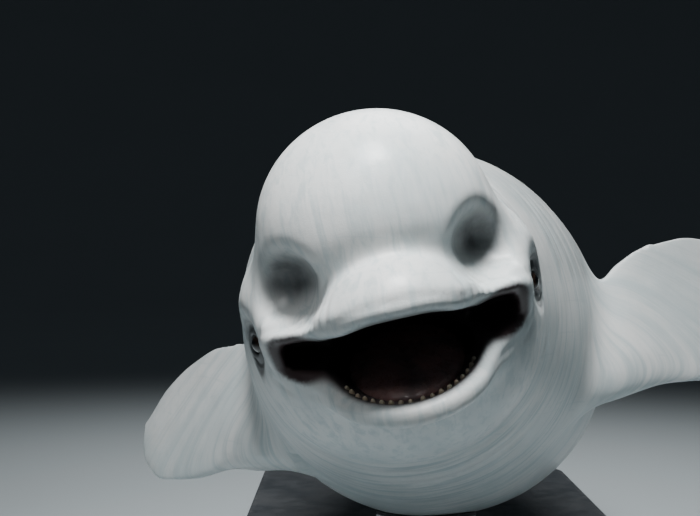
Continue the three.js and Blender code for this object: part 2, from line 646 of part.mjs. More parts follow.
function fluke(side) {
  const edge = Object.fromEntries(["leading", "trailing", "thickness"].map((key) => [key, curveThrough(FLUKE[key])]));
  const rings = spanwise(FLUKE.sections).map((t) => {
    const u = side * (GAP / 2 + t * FLUKE.span);
    const [ahead, behind] = [edge.leading(t), edge.trailing(t)];
    const thick = edge.thickness(t) / 2;
    return sectionRing(FLUKE.around, (c, n) =>
      posed(u, (ahead + behind) / 2 + (c * (behind - ahead)) / 2, n * thick - FLUKE.droop * t * t));
  });
  return solidOf(loft(rings)).subtract(trunkSolids.tail_stock.grown);
}

// The trunk's solids, each with a copy grown by the gap that cuts what meets it

function trunkSolid(start, end, grow) {
  const steps = Math.max(2, Math.round((end - start) / RING.spacing));
  const rings = [...Array(steps + 1).keys()].map((i) => trunkRing(start + ((end - start) * i) / steps, grow));
  const tips = end === TRUNK.end ? { end: posed(0, TRUNK.tip + grow, 0) } : {};
  return solidOf(loft(rings, tips));
}

const trunkSolids = {};
let from = HEAD_END;
for (const [name, to] of TRUNK_NODES) {
  const [start, end] = [from + GAP / 2, to === TRUNK.end ? to : to - GAP / 2];
  trunkSolids[name] = { solid: trunkSolid(start, end, 0), grown: trunkSolid(start, end, GAP) };
  from = to;
}

// The stand

const nodeAt = (s) => TRUNK_NODES.find(([, end]) => s < end)[0];

function standBase() {
  const [halfX, halfY, r] = [BASE.width / 2, BASE.length / 2, BASE.corner];
  const shape = new THREE.Shape()
    .moveTo(-halfX + r, -halfY)
    .lineTo(halfX - r, -halfY)
    .absarc(halfX - r, -halfY + r, r, -Math.PI / 2, 0)
    .lineTo(halfX, halfY - r)
    .absarc(halfX - r, halfY - r, r, 0, Math.PI / 2)
    .lineTo(-halfX + r, halfY)
    .absarc(-halfX + r, halfY - r, r, Math.PI / 2, Math.PI)
    .lineTo(-halfX, -halfY + r)
    .absarc(-halfX + r, -halfY + r, r, Math.PI, 1.5 * Math.PI);
  const bevel = { bevelSize: BASE.chamfer, bevelOffset: -BASE.chamfer, bevelThickness: BASE.chamfer, bevelSegments: 1 };
  return new THREE.ExtrudeGeometry(shape, { depth: BASE.thick - 2 * BASE.chamfer, curveSegments: 4, ...bevel })
    .translate(0, 0, BASE.chamfer);
}

/** A turned piece, standing along +Z, from radius and height pairs that start and end on the axis. */
function turned(outline, sides) {
  return new THREE.LatheGeometry(outline.map(([x, y]) => new THREE.Vector2(x, y)), sides).rotateX(Math.PI / 2);
}

function standRod(s) {
  const foot = spinePoint(s).setZ(BASE.thick + GAP);
  const under = spinePoint(s).z - trunkCurves.bottom(s) * 0.98;
  const [top, flare] = [under + 120 - foot.z, under - ROD.saddleDeep - foot.z];
  const outline = [[0, 0], [ROD.radius, 0], [ROD.radius, flare], [ROD.saddle, flare + ROD.saddleDeep * 0.7],
    [ROD.saddle, top], [0, top]];
  const rod = solidOf(turned(outline, ROD.sides).translate(foot.x, foot.y, foot.z));
  return rod.subtract(trunkSolids[nodeAt(s)].grown);
}

function standCollar(s) {
  const { radius, thick, neck, neckHeight, bolts, boltCircle, boltRadius, boltHead } = COLLAR;
  const foot = spinePoint(s).setZ(BASE.thick + GAP);
  let ring = solidOf(turned([[0, 0], [radius, 0], [radius, thick], [neck, thick], [neck, neckHeight], [0, neckHeight]], 20)
    .translate(foot.x, foot.y, foot.z));
  for (let i = 0; i < bolts; i++) {
    const angle = (2 * Math.PI * (i + 0.5)) / bolts;
    const bolt = turned([[0, thick - 4], [boltRadius, thick - 4], [boltRadius, thick + boltHead], [0, thick + boltHead]], 6)
      .translate(foot.x + boltCircle * Math.cos(angle), foot.y + boltCircle * Math.sin(angle), foot.z);
    ring = ring.add(solidOf(bolt));
  }
  const bore = turned([[0, -5], [ROD.radius + GAP, -5], [ROD.radius + GAP, neckHeight + 5], [0, neckHeight + 5]], ROD.sides);
  return ring.subtract(solidOf(bore.translate(foot.x, foot.y, foot.z)));
}

// The model

const group = new THREE.Group();

function addNode(name, solid, colour, finish = { roughness: 0.45, metalness: 0 }) {
  const mesh = new THREE.Mesh(geometryOf(solid), new THREE.MeshStandardMaterial({ color: colour, ...finish }));
  mesh.name = name;
  group.add(mesh);
}

addNode("head", head, COLOURS.skin);
addNode("lower_jaw", jaw, COLOURS.skin);
addNode("tongue", tongueSolid(), COLOURS.mouth);
for (const eye of eyes) {
  const ball = setOnHead(new THREE.SphereGeometry(EYE.radius, 14, 9), eye.ball, eye.facing);
  addNode(eye.side > 0 ? "eye_left" : "eye_right", ball, COLOURS.eye, { roughness: 0.08, metalness: 0 });
}
for (const [name] of TRUNK_NODES) addNode(name, trunkSolids[name].solid, COLOURS.skin);
addNode("flipper_left", flipper(1, FLIPPER_SET.left), COLOURS.skin);
addNode("flipper_right", flipper(-1, FLIPPER_SET.right), COLOURS.skin);
addNode("fluke_left", fluke(1), COLOURS.skin);
addNode("fluke_right", fluke(-1), COLOURS.skin);
addNode("stand_base", solidOf(standBase()), COLOURS.base, { roughness: 0.5, metalness: 0.1 });
ROD.places.forEach((s, i) => {
  const place = i === 0 ? "front" : "rear";
  addNode(`stand_rod_${place}`, standRod(s), COLOURS.steel, { roughness: 0.3, metalness: 1 });
  addNode(`stand_collar_${place}`, standCollar(s), COLOURS.steel, { roughness: 0.3, metalness: 1 });
});

export default group;
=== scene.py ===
"""The looks of a life-size beluga whale, swimming with its mouth open in a gentle turn, on its display stand.

The whale's shape is worked out in millimetres on a straight whale: u to its left, s back from the snout, and
z up from the spine. The spine then carries each point to the posed whale, and the meshes are in metres.
"""

from __future__ import annotations

import logging
import math
from dataclasses import dataclass
from enum import Enum
from typing import Callable, Sequence

import bpy
import numpy as np
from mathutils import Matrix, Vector

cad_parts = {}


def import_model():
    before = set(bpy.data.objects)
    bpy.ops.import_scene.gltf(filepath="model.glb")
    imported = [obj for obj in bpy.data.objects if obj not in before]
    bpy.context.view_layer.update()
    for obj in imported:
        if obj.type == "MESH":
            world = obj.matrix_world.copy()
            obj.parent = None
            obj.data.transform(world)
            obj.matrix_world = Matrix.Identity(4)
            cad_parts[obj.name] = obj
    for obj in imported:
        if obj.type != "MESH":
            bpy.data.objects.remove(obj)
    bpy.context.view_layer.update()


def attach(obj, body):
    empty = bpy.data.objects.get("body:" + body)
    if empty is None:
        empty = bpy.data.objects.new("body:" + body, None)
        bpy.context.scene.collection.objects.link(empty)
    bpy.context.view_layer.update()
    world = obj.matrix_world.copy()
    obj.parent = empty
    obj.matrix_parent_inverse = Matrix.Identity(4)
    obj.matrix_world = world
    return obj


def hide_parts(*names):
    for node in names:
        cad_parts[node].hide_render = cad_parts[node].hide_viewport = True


log = logging.getLogger("beluga")

MM = 0.001
BODY = "root"

Points = np.ndarray
Values = np.ndarray
Field = Callable[[Points], Values]
Pair = tuple[float, float]
Triple = tuple[float, float, float]
Piece = bpy.types.Object
Material = bpy.types.Material
Socket = bpy.types.NodeSocket
Node = bpy.types.Node


class Side(Enum):
    """One of the whale's two sides, and the sign of u there."""

    LEFT = 1
    RIGHT = -1


# Maths


class Curve:
    """A smooth curve through (place, value) pairs, which never overshoots them."""

    def __init__(self, *knots: Pair) -> None:
        """Works out the slope at each knot.

        Args:
            knots: Pairs of a place and the value there, in order of place.
        """
        self.at, self.value = np.array(knots, float).T
        slopes = np.diff(self.value) / np.diff(self.at)
        before, after = slopes[:-1], slopes[1:]
        same_way = before * after > 0
        middle = np.where(same_way, 2 * before * after / np.where(same_way, before + after, 1), 0)
        self.bend = np.concatenate(([slopes[0]], middle, [slopes[-1]]))

    def __call__(self, place: Values | float) -> Values:
        """The curve's value at each place, with the ends held past the first and last knot.

        Args:
            place: The places.

        Returns:
            The value at each.
        """
        x = np.clip(place, self.at[0], self.at[-1])
        i = np.clip(np.searchsorted(self.at, x, side="right") - 1, 0, len(self.at) - 2)
        width = self.at[i + 1] - self.at[i]
        t = (x - self.at[i]) / width
        rise = t * t * (3 - 2 * t)
        early = t * (1 - t) ** 2 * width * self.bend[i]
        late = t * t * (t - 1) * width * self.bend[i + 1]
        return self.value[i] + rise * (self.value[i + 1] - self.value[i]) + early + late


def joined(*parts: Values) -> Points:
    """Separate coordinates, put together as points."""
    return np.stack(parts, axis=-1)


def full_turn(count: int) -> Values:
    """Angles all the way round, evenly spaced."""
    return 2 * math.pi * np.arange(count) / count


def circle(radius: float, height: float, turn: Values, middle: Points | Triple = (0.0, 0.0, 0.0)) -> Points:
    """A level ring of points at angles round an upright axis."""
    x, y = middle[0] + radius * np.cos(turn), middle[1] + radius * np.sin(turn)
    return joined(x, y, np.full_like(turn, middle[2] + height))


def blend_min(a: Values, b: Values, soft: float) -> Values:
    """The lower of two values, blended where they are within `soft` of each other."""
    near = np.maximum(soft - np.abs(a - b), 0) / soft
    return np.minimum(a, b) - near * near * soft / 4


def blend_max(a: Values, b: Values, soft: float) -> Values:
    """The higher of two values, blended where they are within `soft` of each other."""
    return -blend_min(-a, -b, soft)


def smoothstep(x: Values, low: float, high: float) -> Values:
    """A smooth rise from 0 at `low` to 1 at `high`."""
    t = np.clip((x - low) / (high - low), 0, 1)
    return t * t * (3 - 2 * t)


def fading(x: Values, most: float, low: float, high: float) -> Values:
    """A smooth fall from `most` at `low` to 0 at `high`."""
    return most * (1 - smoothstep(x, low, high))


def hump(x: Values, width: float) -> Values:
    """A bell of height 1 at zero."""
    return np.exp(-((x / width) ** 2))


def unit(vectors: Points) -> Points:
    """Vectors of the same direction and of length 1."""
    return vectors / np.maximum(np.linalg.norm(vectors, axis=-1, keepdims=True), 1e-12)


def ellipse_distance(offset: Points, radii: Values) -> Values:
    """About how far points lie outside an ellipse or ellipsoid.

    Args:
        offset: The points, from its middle.
        radii: Its radii, once for all points or for each.

    Returns:
        The distance for each point, negative inside.
    """
    scaled = np.linalg.norm(offset / radii, axis=-1)
    slope = np.linalg.norm(offset / radii**2, axis=-1)
    inside = -np.min(radii)
    return np.where(slope < 1e-9, inside, scaled * (scaled - 1) / np.maximum(slope, 1e-9))


def blade_distance(offset: Points, half: Values, thin: Values, edge: float) -> Values:
    """About how far points lie outside a blade's section, whose thin edges are rounded.

    Args:
        offset: The points, from the section's middle: across the blade, and off its middle plane.
        half: Half of the blade's width at each point.
        thin: Half of its thickness there.
        edge: The radius of its edges, where it is thick enough for it.

    Returns:
        The distance for each point, negative inside.
    """
    rounding = np.minimum(edge, 0.6 * thin)
    return ellipse_distance(offset, joined(half - rounding, thin - rounding)) - rounding


def blade_ring(half: float, thin: float, edge: float, around: Values) -> Points:
    """A ring round the same section, as places across the blade and off its middle plane.

    Args:
        half: Half of the blade's width.
        thin: Half of its thickness, at its middle.
        edge: The radius of its edges, where it is thick enough for it.
        around: The ring's angles, with 0 at the trailing edge.

    Returns:
        The ring's points.
    """
    local = thin * (1 - 0.35 * np.cos(around))
    rounding = np.minimum(edge, 0.6 * local)
    radii = joined(half - rounding, local - rounding)
    way = joined(np.cos(around), np.sin(around))
    return way * radii + rounding[:, None] * unit(way / radii)


@dataclass(frozen=True)
class Ellipsoid:
    """A rounded lump, by its middle and its radii in u, s and z."""

    middle: Triple
    radii: Triple

    def distance(self, points: Points) -> Values:
        """About how far points lie outside it, negative inside."""
        return ellipse_distance(points - np.array(self.middle), np.array(self.radii, float))


def gradient(surface: Field, points: Points, reach: float = 0.5) -> Points:
    """The direction in which a field rises fastest at each point, and how fast.

    Args:
        surface: The field.
        points: Where it is looked up.
        reach: How far to each side.

    Returns:
        A vector for each point.
    """
    slopes = []
    for axis in range(3):
        step = np.zeros(3)
        step[axis] = reach
        slopes.append((surface(points + step) - surface(points - step)) / (2 * reach))
    return np.stack(slopes, axis=-1)


def settled(surface: Field, points: Points, most: float, rounds: int = 4) -> Points:
    """Points moved along a field's slope to where the field is zero.

    Args:
        surface: The field.
        points: Where they start.
        most: The furthest that a point may go.
        rounds: How many steps are taken.

    Returns:
        The moved points.
    """
    at = points.copy()
    for _ in range(rounds):
        slope = gradient(surface, at)
        steep = np.maximum((slope**2).sum(1), 0.05)
        step = np.clip(surface(at) / steep, -most, most)
        at -= step[:, None] * slope
    moved = at - points
    share = np.minimum(1, most / np.maximum(np.linalg.norm(moved, axis=1), 1e-9))
    return points + share[:, None] * moved


# The whale's shape


@dataclass
class Spine:
    """The line that carries the straight whale to its pose."""

    step: float = 10.0
    length: float = 4200.0
    held_s: float = 1500.0
    held: Triple = (0.0, -380.0, 560.0)
    yaw: Curve = Curve((0, 1.5), (430, 1.5), (800, 10), (1300, 9), (2000, 4), (2900, -1), (4000, -4))
    climb: Curve = Curve((0, -2.5), (430, -2.5), (800, -8.5), (1400, -7), (2200, -1), (3000, 3), (4000, 7))
    bank: Curve = Curve((0, 13), (1600, 13), (4000, 9))

    def __post_init__(self) -> None:
        """Adds up the spine's points, step by step from the snout."""
        ends = np.arange(0, self.length + self.step, self.step)
        backs = self.axes(ends[1:] - self.step / 2)[0]
        points = np.vstack((np.zeros(3), np.cumsum(backs * self.step, axis=0)))
        self.ends = ends
        self.points = points + self.held - points[round(self.held_s / self.step)]

    def axes(self, s: Values) -> tuple[Points, Points, Points]:
        """Unit vectors at places on the spine: to the tail, to the whale's left, and up out of its back.

        Args:
            s: Places along the spine.

        Returns:
            Three vectors for each place.
        """
        yaw, climb, bank = (np.radians(curve(s)) for curve in (self.yaw, self.climb, self.bank))
        back = joined(np.sin(yaw) * np.cos(climb), np.cos(yaw) * np.cos(climb), np.sin(climb))
        level = joined(np.cos(yaw), -np.sin(yaw), np.zeros_like(yaw))
        upright = np.cross(level, back)
        cos, sin = np.cos(bank)[..., None], np.sin(bank)[..., None]
        return back, level * cos + upright * sin, upright * cos - level * sin

    def point(self, s: Values) -> Points:
        """The spine's points at places along it, on a straight line ahead of the snout.

        Args:
            s: Places along the spine.

        Returns:
            The points of the posed spine.
        """
        s = np.asarray(s, float)
        along = np.stack([np.interp(s, self.ends, self.points[:, axis]) for axis in range(3)], axis=-1)
        return along + np.minimum(s, 0)[..., None] * self.axes(np.zeros_like(s))[0]

    def posed(self, points: Points) -> Points:
        """Points of the straight whale, carried to the posed one."""
        _, left, up = self.axes(points[:, 1])
        return self.point(points[:, 1]) + points[:, :1] * left + points[:, 2:] * up

    def straight(self, points: Points, s_near: float) -> Points:
        """Points of the posed whale, carried back to the straight one.

        Args:
            points: The posed points.
            s_near: A place on the spine near them, where the search starts.

        Returns:
            Their u, s and z.
        """
        s = np.full(len(points), float(s_near))
        for _ in range(6):
            s += ((points - self.point(s)) * self.axes(s)[0]).sum(1)
        _, left, up = self.axes(s)
        offset = points - self.point(s)
        return joined((offset * left).sum(1), s, (offset * up).sum(1))


@dataclass
class Trunk:
    """The body from the neck to the tail, as sections across the spine."""

    width: Curve = Curve(
        (300, 196), (430, 232), (620, 278), (820, 330), (1050, 372), (1300, 392), (1600, 392), (2000, 366),
        (2400, 308), (2800, 226), (3200, 136), (3500, 76), (3700, 44), (3860, 20),
    )
    top: Curve = Curve(
        (300, 204), (430, 240), (620, 296), (820, 350), (1050, 388), (1300, 402), (1600, 398), (2000, 378),
        (2400, 332), (2800, 266), (3200, 182), (3500, 114), (3700, 66), (3860, 22),
    )
    bottom: Curve = Curve(
        (300, 190), (430, 230), (620, 282), (820, 336), (1050, 380), (1300, 400), (1600, 398), (2000, 362),
        (2400, 300), (2800, 224), (3200, 150), (3500, 98), (3700, 58), (3860, 20),
    )
    roundness: Curve = Curve((300, 2.1), (1600, 2.1), (2600, 2.0), (3300, 1.75), (3700, 1.7), (3860, 2))
    starts: float = 300.0
    ends: float = 3878.0
    ridge_from: float = 1780.0
    ridge_to: float = 2480.0
    ridge_height: float = 24.0
    ridge_half_width: float = 42.0
    notch_spacing: float = 58.0

    # Soft folds round the neck and shoulders: where, how far apart, and how deep
    fold_first: float = 470.0
    fold_count: int = 13
    fold_spacing: float = 37.0
    fold_width: float = 8.5
    fold_depth: float = 4.2

    def __post_init__(self) -> None:
        """Draws how each fold wanders and where it is deepest."""
        draw = np.random.default_rng(4)
        self.fold_places = self.fold_first + self.fold_spacing * (
            np.arange(self.fold_count) + draw.uniform(-0.25, 0.25, self.fold_count)
        )
        self.fold_turns = draw.uniform(0, 2 * math.pi, (self.fold_count, 3))
        self.fold_shares = draw.uniform(0.5, 1.0, self.fold_count) * np.linspace(1, 0.45, self.fold_count)

    def plain_radius(self, s: Values, angle: Values) -> Values:
        """The radius without its folds, at places along the spine and directions around it.

        Args:
            s: Places along the spine.
            angle: Directions round the spine, in radians.

        Returns:
            The radius at each place.
        """
        across, aloft = np.abs(np.cos(angle)), np.abs(np.sin(angle))
        height = np.where(np.sin(angle) > 0, self.top(s), self.bottom(s))
        power = self.roundness(s)
        scaled = (across / self.width(s)) ** power + (aloft / height) ** power
        return scaled ** (-1 / power)

    def ridge(self, s: Values, angle: Values) -> Values:
        """The low, slightly notched ridge along the back.

        Args:
            s: Places along the spine.
            angle: Directions round the spine, in radians.

        Returns:
            How high it stands at each place.
        """
        along = np.clip((s - self.ridge_from) / (self.ridge_to - self.ridge_from), 0, 1)
        aside = np.minimum(np.abs(np.cos(angle)) * self.top(s) / self.ridge_half_width, 1)
        crest = np.maximum(np.sin(math.pi * along), 0) ** 0.6 * (0.5 + 0.5 * np.cos(math.pi * aside))
        notched = 1 - 0.12 * (0.5 + 0.5 * np.cos(2 * math.pi * s / self.notch_spacing))
        return np.where(np.sin(angle) > 0, self.ridge_height * crest * notched, 0)

    def folds(self, s: Values, angle: Values) -> Values:
        """How deep the skin's folds are.

        Args:
            s: Places along the spine.
            angle: Directions round the spine, in radians.

        Returns:
            Their depth at each place.
        """
        depth = np.zeros_like(s)
        for place, turns, share in zip(self.fold_places, self.fold_turns, self.fold_shares):
            line = place + 17 * np.sin(angle + turns[0]) + 6 * np.sin(3 * angle + turns[1])
            where = 0.35 + 0.65 * np.sin(2 * angle + turns[2])
            depth += share * np.maximum(where, 0) * hump(s - line, self.fold_width)
        return self.fold_depth * depth

    def radius(self, s: Values, angle: Values) -> Values:
        """The radius with its ridge and folds."""
        return self.plain_radius(s, angle) + self.ridge(s, angle) - self.folds(s, angle)

    def distance(self, points: Points) -> Values:
        """About how far points lie outside the trunk, whose front end is left open."""
        u, s, z = points.T
        return np.hypot(u, z) - self.radius(np.maximum(s, self.starts), np.arctan2(z, u))

    def capped(self, points: Points) -> Values:
        """The same, with the tail's tip rounded off."""
        return blend_max(self.distance(points), points[:, 1] - self.ends, 16)


@dataclass(frozen=True)
class EyePlace:
    """One eye's place on the straight head."""

    side: Side
    skin: Points
    facing: Points
    ball: Points

    def axes(self) -> Points:
        """Unit vectors, as rows: across the eye towards the tail, up it, and out.

        Returns:
            The three rows.
        """
        across = unit(np.array([0.0, 1.0, 0.0]) - self.facing * self.facing[1])
        up = np.cross(self.facing, across) * (1 if self.side is Side.LEFT else -1)
        tilt = math.radians(Head.lid_tilt)
        turned = across * math.cos(tilt) + up * math.sin(tilt)
        return np.stack((turned, np.cross(self.facing, turned), self.facing))


@dataclass
class Head:
    """The head: its flesh, its open mouth, its lids and its blowhole."""

    trunk: Trunk
    end: float = 430.0
    skull: Ellipsoid = Ellipsoid((0, 290, 12), (222, 212, 212))
    melon: Ellipsoid = Ellipsoid((0, 222, 128), (178, 172, 174))
    crown: Ellipsoid = Ellipsoid((0, 340, 96), (160, 170, 166))
    snout: Ellipsoid = Ellipsoid((0, 112, 12), (100, 108, 76))
    upper_jaw: Ellipsoid = Ellipsoid((0, 152, 4), (142, 150, 46))
    cheek: Ellipsoid = Ellipsoid((130, 216, -2), (70, 112, 44))
    temple: Ellipsoid = Ellipsoid((156, 320, 20), (74, 110, 92))
    throat: Ellipsoid = Ellipsoid((0, 330, -84), (200, 190, 150))
    lower_jaw: Ellipsoid = Ellipsoid((0, 152, -56), (132, 146, 42))
    hollow: Ellipsoid = Ellipsoid((158, 112, 66), (62, 84, 54))
    orbit: Ellipsoid = Ellipsoid((258, 256, -4), (52, 74, 54))
    neck_opens: float = 330.0
    neck_takes_over: float = 372.0
    neck_blend: float = 60
    throat_blend: float = 40
    temple_blend: float = 50
    jaw_blend: float = 34
    hollow_blend: float = 24
    orbit_blend: float = 30
    cheek_blends: Pair = (40, 30)
    melon_blends: Pair = (40, 36)
    snout_blend: float = 30

    gape_pivot: Pair = (216.0, -22.0)
    gape: float = math.radians(28)
    upper_lip: float = -13.0
    lower_lip: float = -30.0
    lip_edge: float = 18.0
    droop: float = 11.0
    droop_at: float = 90.0
    droop_width: float = 32.0
    web_start: Pair = (148.0, -15.0)
    web_slope: float = 50.0
    web_inside: float = 172.0
    web_edge: float = 12.0
    palate: Ellipsoid = Ellipsoid((0, 152, -26), (108, 130, 40))
    jaw_bed: Ellipsoid = Ellipsoid((0, 150, -28), (108, 124, 42))
    gullet: Ellipsoid = Ellipsoid((0, 236, -72), (112, 90, 44))

    eye_at: Pair = (300.0, -3.0)
    eye_radius: float = 20.0
    eye_sunk: float = 10.0
    lid_across: float = 24.0
    lid_tall: float = 19.0
    lid_thick: float = 5.5
    lid_tilt: float = -14.0
    lid_creases: tuple[Pair, ...] = ((1.72, 1.8), (2.25, 1.0))
    socket_gap: float = 0.6
    ball_gap: float = 0.2
    iris_bulge: float = 1.4
    iris_angle: float = 34.0

    blow_s: float = 400.0
    blow_u: float = 12.0
    blow_radius: float = 46.0
    blow_arc: float = math.radians(140)
    blow_slit: float = 4.2
    blow_depth: float = 16.0
    blow_rim: float = 2.4
    blow_rim_at: float = 10.0
    blow_rim_width: float = 6.0

    corner: Pair = (180.0, -40.0)
    corner_folds: tuple[Pair, ...] = ((22.0, 2.4), (40.0, 2.0))
    brow_depth: float = 9.0
    brow_width: float = 26.0
    lip_folds: float = 44.0
    lip_fold_depth: float = 3.0
    lip_fold_height: float = 12.0
    lip_groove_above: float = 24.0
    lip_groove_depth: float = 2.2
    lip_groove_width: float = 6.0
    cheek_fold: float = 168.0
    cheek_fold_back: float = 70.0
    cheek_fold_height: float = 2.6
    cheek_fold_width: float = 9.0

    def __post_init__(self) -> None:
        """Finds the eyes and the blowhole on the flesh."""
        self.eyes = tuple(self.eye_place(side) for side in Side)
        under_blowhole = np.array([self.blow_u, self.blow_s, 60.0])
        self.blow_top = self.march(self.flesh, under_blowhole, np.array([0.0, 0.0, 1.0]))

    def about_pivot(self, points: Points, turn: float) -> Points:
        """Points turned about the jaw's pivot.

        Args:
            points: On the straight whale.
            turn: The turn, in radians.

        Returns:
            The turned points.
        """
        ahead, above = points[:, 1] - self.gape_pivot[0], points[:, 2] - self.gape_pivot[1]
        cos, sin = math.cos(turn), math.sin(turn)
        along, height = ahead * cos + above * sin, above * cos - ahead * sin
        return joined(points[:, 0], self.gape_pivot[0] + along, self.gape_pivot[1] + height)

    def shut(self, points: Points) -> Points:
        """Points of the open lower jaw, turned to where they are when the mouth is shut."""
        return self.about_pivot(points, self.gape)

    def opened(self, points: Points) -> Points:
        """The same turn the other way."""
        return self.about_pivot(points, -self.gape)

    def flesh(self, points: Points) -> Values:
        """The head without its mouth: about the distance outside it.

        Args:
            points: On the straight whale.

        Returns:
            The distance, negative inside.
        """
        beside = points.copy()
        beside[:, 0] = np.abs(beside[:, 0])
        shut = self.shut(points)
        trunk = self.trunk.distance(points)
        neck = np.maximum(trunk, self.neck_opens - points[:, 1])
        out = blend_min(self.skull.distance(points), neck, self.neck_blend)
        out = blend_min(out, self.throat.distance(points), self.throat_blend)
        out = blend_min(out, self.temple.distance(beside), self.temple_blend)
        out = blend_min(out, self.lower_jaw.distance(shut), self.jaw_blend)
        beak = blend_min(self.upper_jaw.distance(points), self.cheek.distance(beside), self.cheek_blends[0])
        out = blend_min(out, beak, self.cheek_blends[1])
        forehead = blend_min(self.melon.distance(points), self.crown.distance(points), self.melon_blends[0])
        out = blend_min(out, forehead, self.melon_blends[1])
        out = blend_max(out, -self.hollow.distance(beside), self.hollow_blend)
        out = blend_max(out, -self.orbit.distance(beside), self.orbit_blend)
        out = blend_min(out, self.snout.distance(points), self.snout_blend) + self.brow_crease(points)
        share = smoothstep(points[:, 1], self.neck_takes_over, self.end)
        return out + share * (trunk - out)

    def brow_crease(self, points: Points) -> Values:
        """How deep the crease is that parts the melon from the snout."""
        meeting = self.melon.distance(points) - self.snout.distance(points)
        return self.brow_depth * hump(meeting, self.brow_width) * (1 - smoothstep(points[:, 1], 90, 170))

    def lip_line(self, u: Values) -> Values:
        """The height of the upper lip's lower edge, which droops a little on each side."""
        return self.upper_lip - self.droop * hump(np.abs(u) - self.droop_at, self.droop_width)

    def mouth(self, points: Points) -> Values:
        """The open mouth's space: about the distance outside it.

        Args:
            points: On the straight whale.

        Returns:
            The distance, negative inside.
        """
        shut = self.shut(points)
        above_lip = points[:, 2] - self.lip_line(points[:, 0])
        out = blend_max(above_lip, self.lower_lip - shut[:, 2], self.lip_edge)
        out = blend_min(out, self.palate.distance(points), 12)
        out = blend_min(out, self.jaw_bed.distance(shut), 12)
        out = blend_min(out, self.gullet.distance(points), 20)
        return blend_max(out, self.cheek_web(points), self.web_edge)

    def cheek_web(self, points: Points) -> Values:
        """The skin stretched between the jaws at the mouth's corners: how far points lie inside it.

        Args:
            points: On the straight whale.

        Returns:
            The distance, negative outside it.
        """
        (start_s, start_z), slope = self.web_start, math.radians(self.web_slope)
        ahead, below = points[:, 1] - start_s, start_z - points[:, 2]
        behind = ahead * math.sin(slope) - below * math.cos(slope)
        return blend_min(behind, np.abs(points[:, 0]) - self.web_inside, self.web_edge)

    def creases(self, points: Points) -> Values:
        """How deep the face's small creases are: along the lips and in arcs behind the mouth's corners.

        Args:
            points: On the straight whale.

        Returns:
            Their depth at each point.
        """
        shut = self.shut(points)
        ahead = 1 - smoothstep(points[:, 1], 150, 215)
        above_lip = points[:, 2] - self.lip_line(points[:, 0]) - self.lip_groove_above
        depth = self.lip_groove_depth * ahead * hump(above_lip, self.lip_groove_width)
        below_lip = shut[:, 2] - self.lower_lip + self.lip_groove_above
        depth += self.lip_groove_depth * ahead * hump(below_lip, self.lip_groove_width)
        turn = np.arctan2(np.abs(points[:, 0]), self.upper_jaw.middle[1] - points[:, 1])
        on_lip = hump(points[:, 2] - self.lip_fold_height, 28)
        on_lip *= smoothstep(turn, 0.5, 0.8) * (1 - smoothstep(turn, 1.5, 1.8))
        fold = self.lip_folds * turn + 0.8 * np.sin(5 * turn)
        depth += self.lip_fold_depth * on_lip * (0.5 + 0.5 * np.cos(fold))
        back, over = points[:, 1] - self.corner[0], points[:, 2] - self.corner[1]
        round_corner = np.hypot(back, over * 0.8)
        behind = smoothstep(back / np.maximum(round_corner, 1), 0.05, 0.6) * (np.abs(points[:, 0]) > 90)
        for reach, deep in self.corner_folds:
            depth += deep * behind * hump(round_corner - reach - 0.08 * over, 6)
        return depth - self.cheek_ridge(points)

    def cheek_ridge(self, points: Points) -> Values:
        """How high the soft fold of skin stands that runs down the cheek in front of the eye.

        Args:
            points: On the straight whale.

        Returns:
            Its height at each point.
        """
        line = self.cheek_fold + self.cheek_fold_back * smoothstep(-points[:, 2], 0, 90)
        beside = smoothstep(np.abs(points[:, 0]), 125, 160) * hump(points[:, 2] - 25, 95)
        crest = hump(points[:, 1] - line, self.cheek_fold_width)
        groove = hump(points[:, 1] - line - 2 * self.cheek_fold_width, self.cheek_fold_width)
        return self.cheek_fold_height * beside * (crest - 0.6 * groove)

    def distance(self, points: Points) -> Values:
        """The whole head: about the distance outside it."""
        outside = self.flesh(points) + self.creases(points)
        return blend_max(outside, -self.mouth(points), self.lip_edge)

    @staticmethod
    def march(
        surface: Field, start: Points, direction: Points, step: float = 2.0, most: float = 400.0
    ) -> Points:
        """Goes from a place along a direction until a field changes sign.

        Args:
            surface: The field.
            start: Where it starts.
            direction: The way that it goes.
            step: The first steps' length.
            most: The furthest that it goes.

        Returns:
            The place where the field is zero.
        """
        reaches = np.arange(0, most, step)
        values = surface(start + reaches[:, None] * direction)
        changed = np.nonzero((values > 0) != (values[0] > 0))[0]
        high = reaches[changed[0]]
        low = high - step
        for _ in range(20):
            middle = (low + high) / 2
            same = (surface((start + middle * direction)[None])[0] > 0) == (values[0] > 0)
            low, high = (middle, high) if same else (low, middle)
        return start + high * direction

    def eye_place(self, side: Side) -> EyePlace:
        """Where one eye's ball is, and which way the eye looks.

        Args:
            side: The side.

        Returns:
            The eye's place.
        """
        outward = np.array([float(side.value), 0.0, 0.0])
        skin = self.march(self.flesh, np.array([0.0, *self.eye_at]), outward)
        facing = unit(gradient(self.flesh, skin[None]))[0]
        return EyePlace(side, skin, facing, skin - facing * self.eye_sunk)

    def with_lids(self, eye: EyePlace) -> Field:
        """The head's field with one eye's lids, the creases round them and the socket.

        Args:
            eye: The eye's place.

        Returns:
            The field.
        """

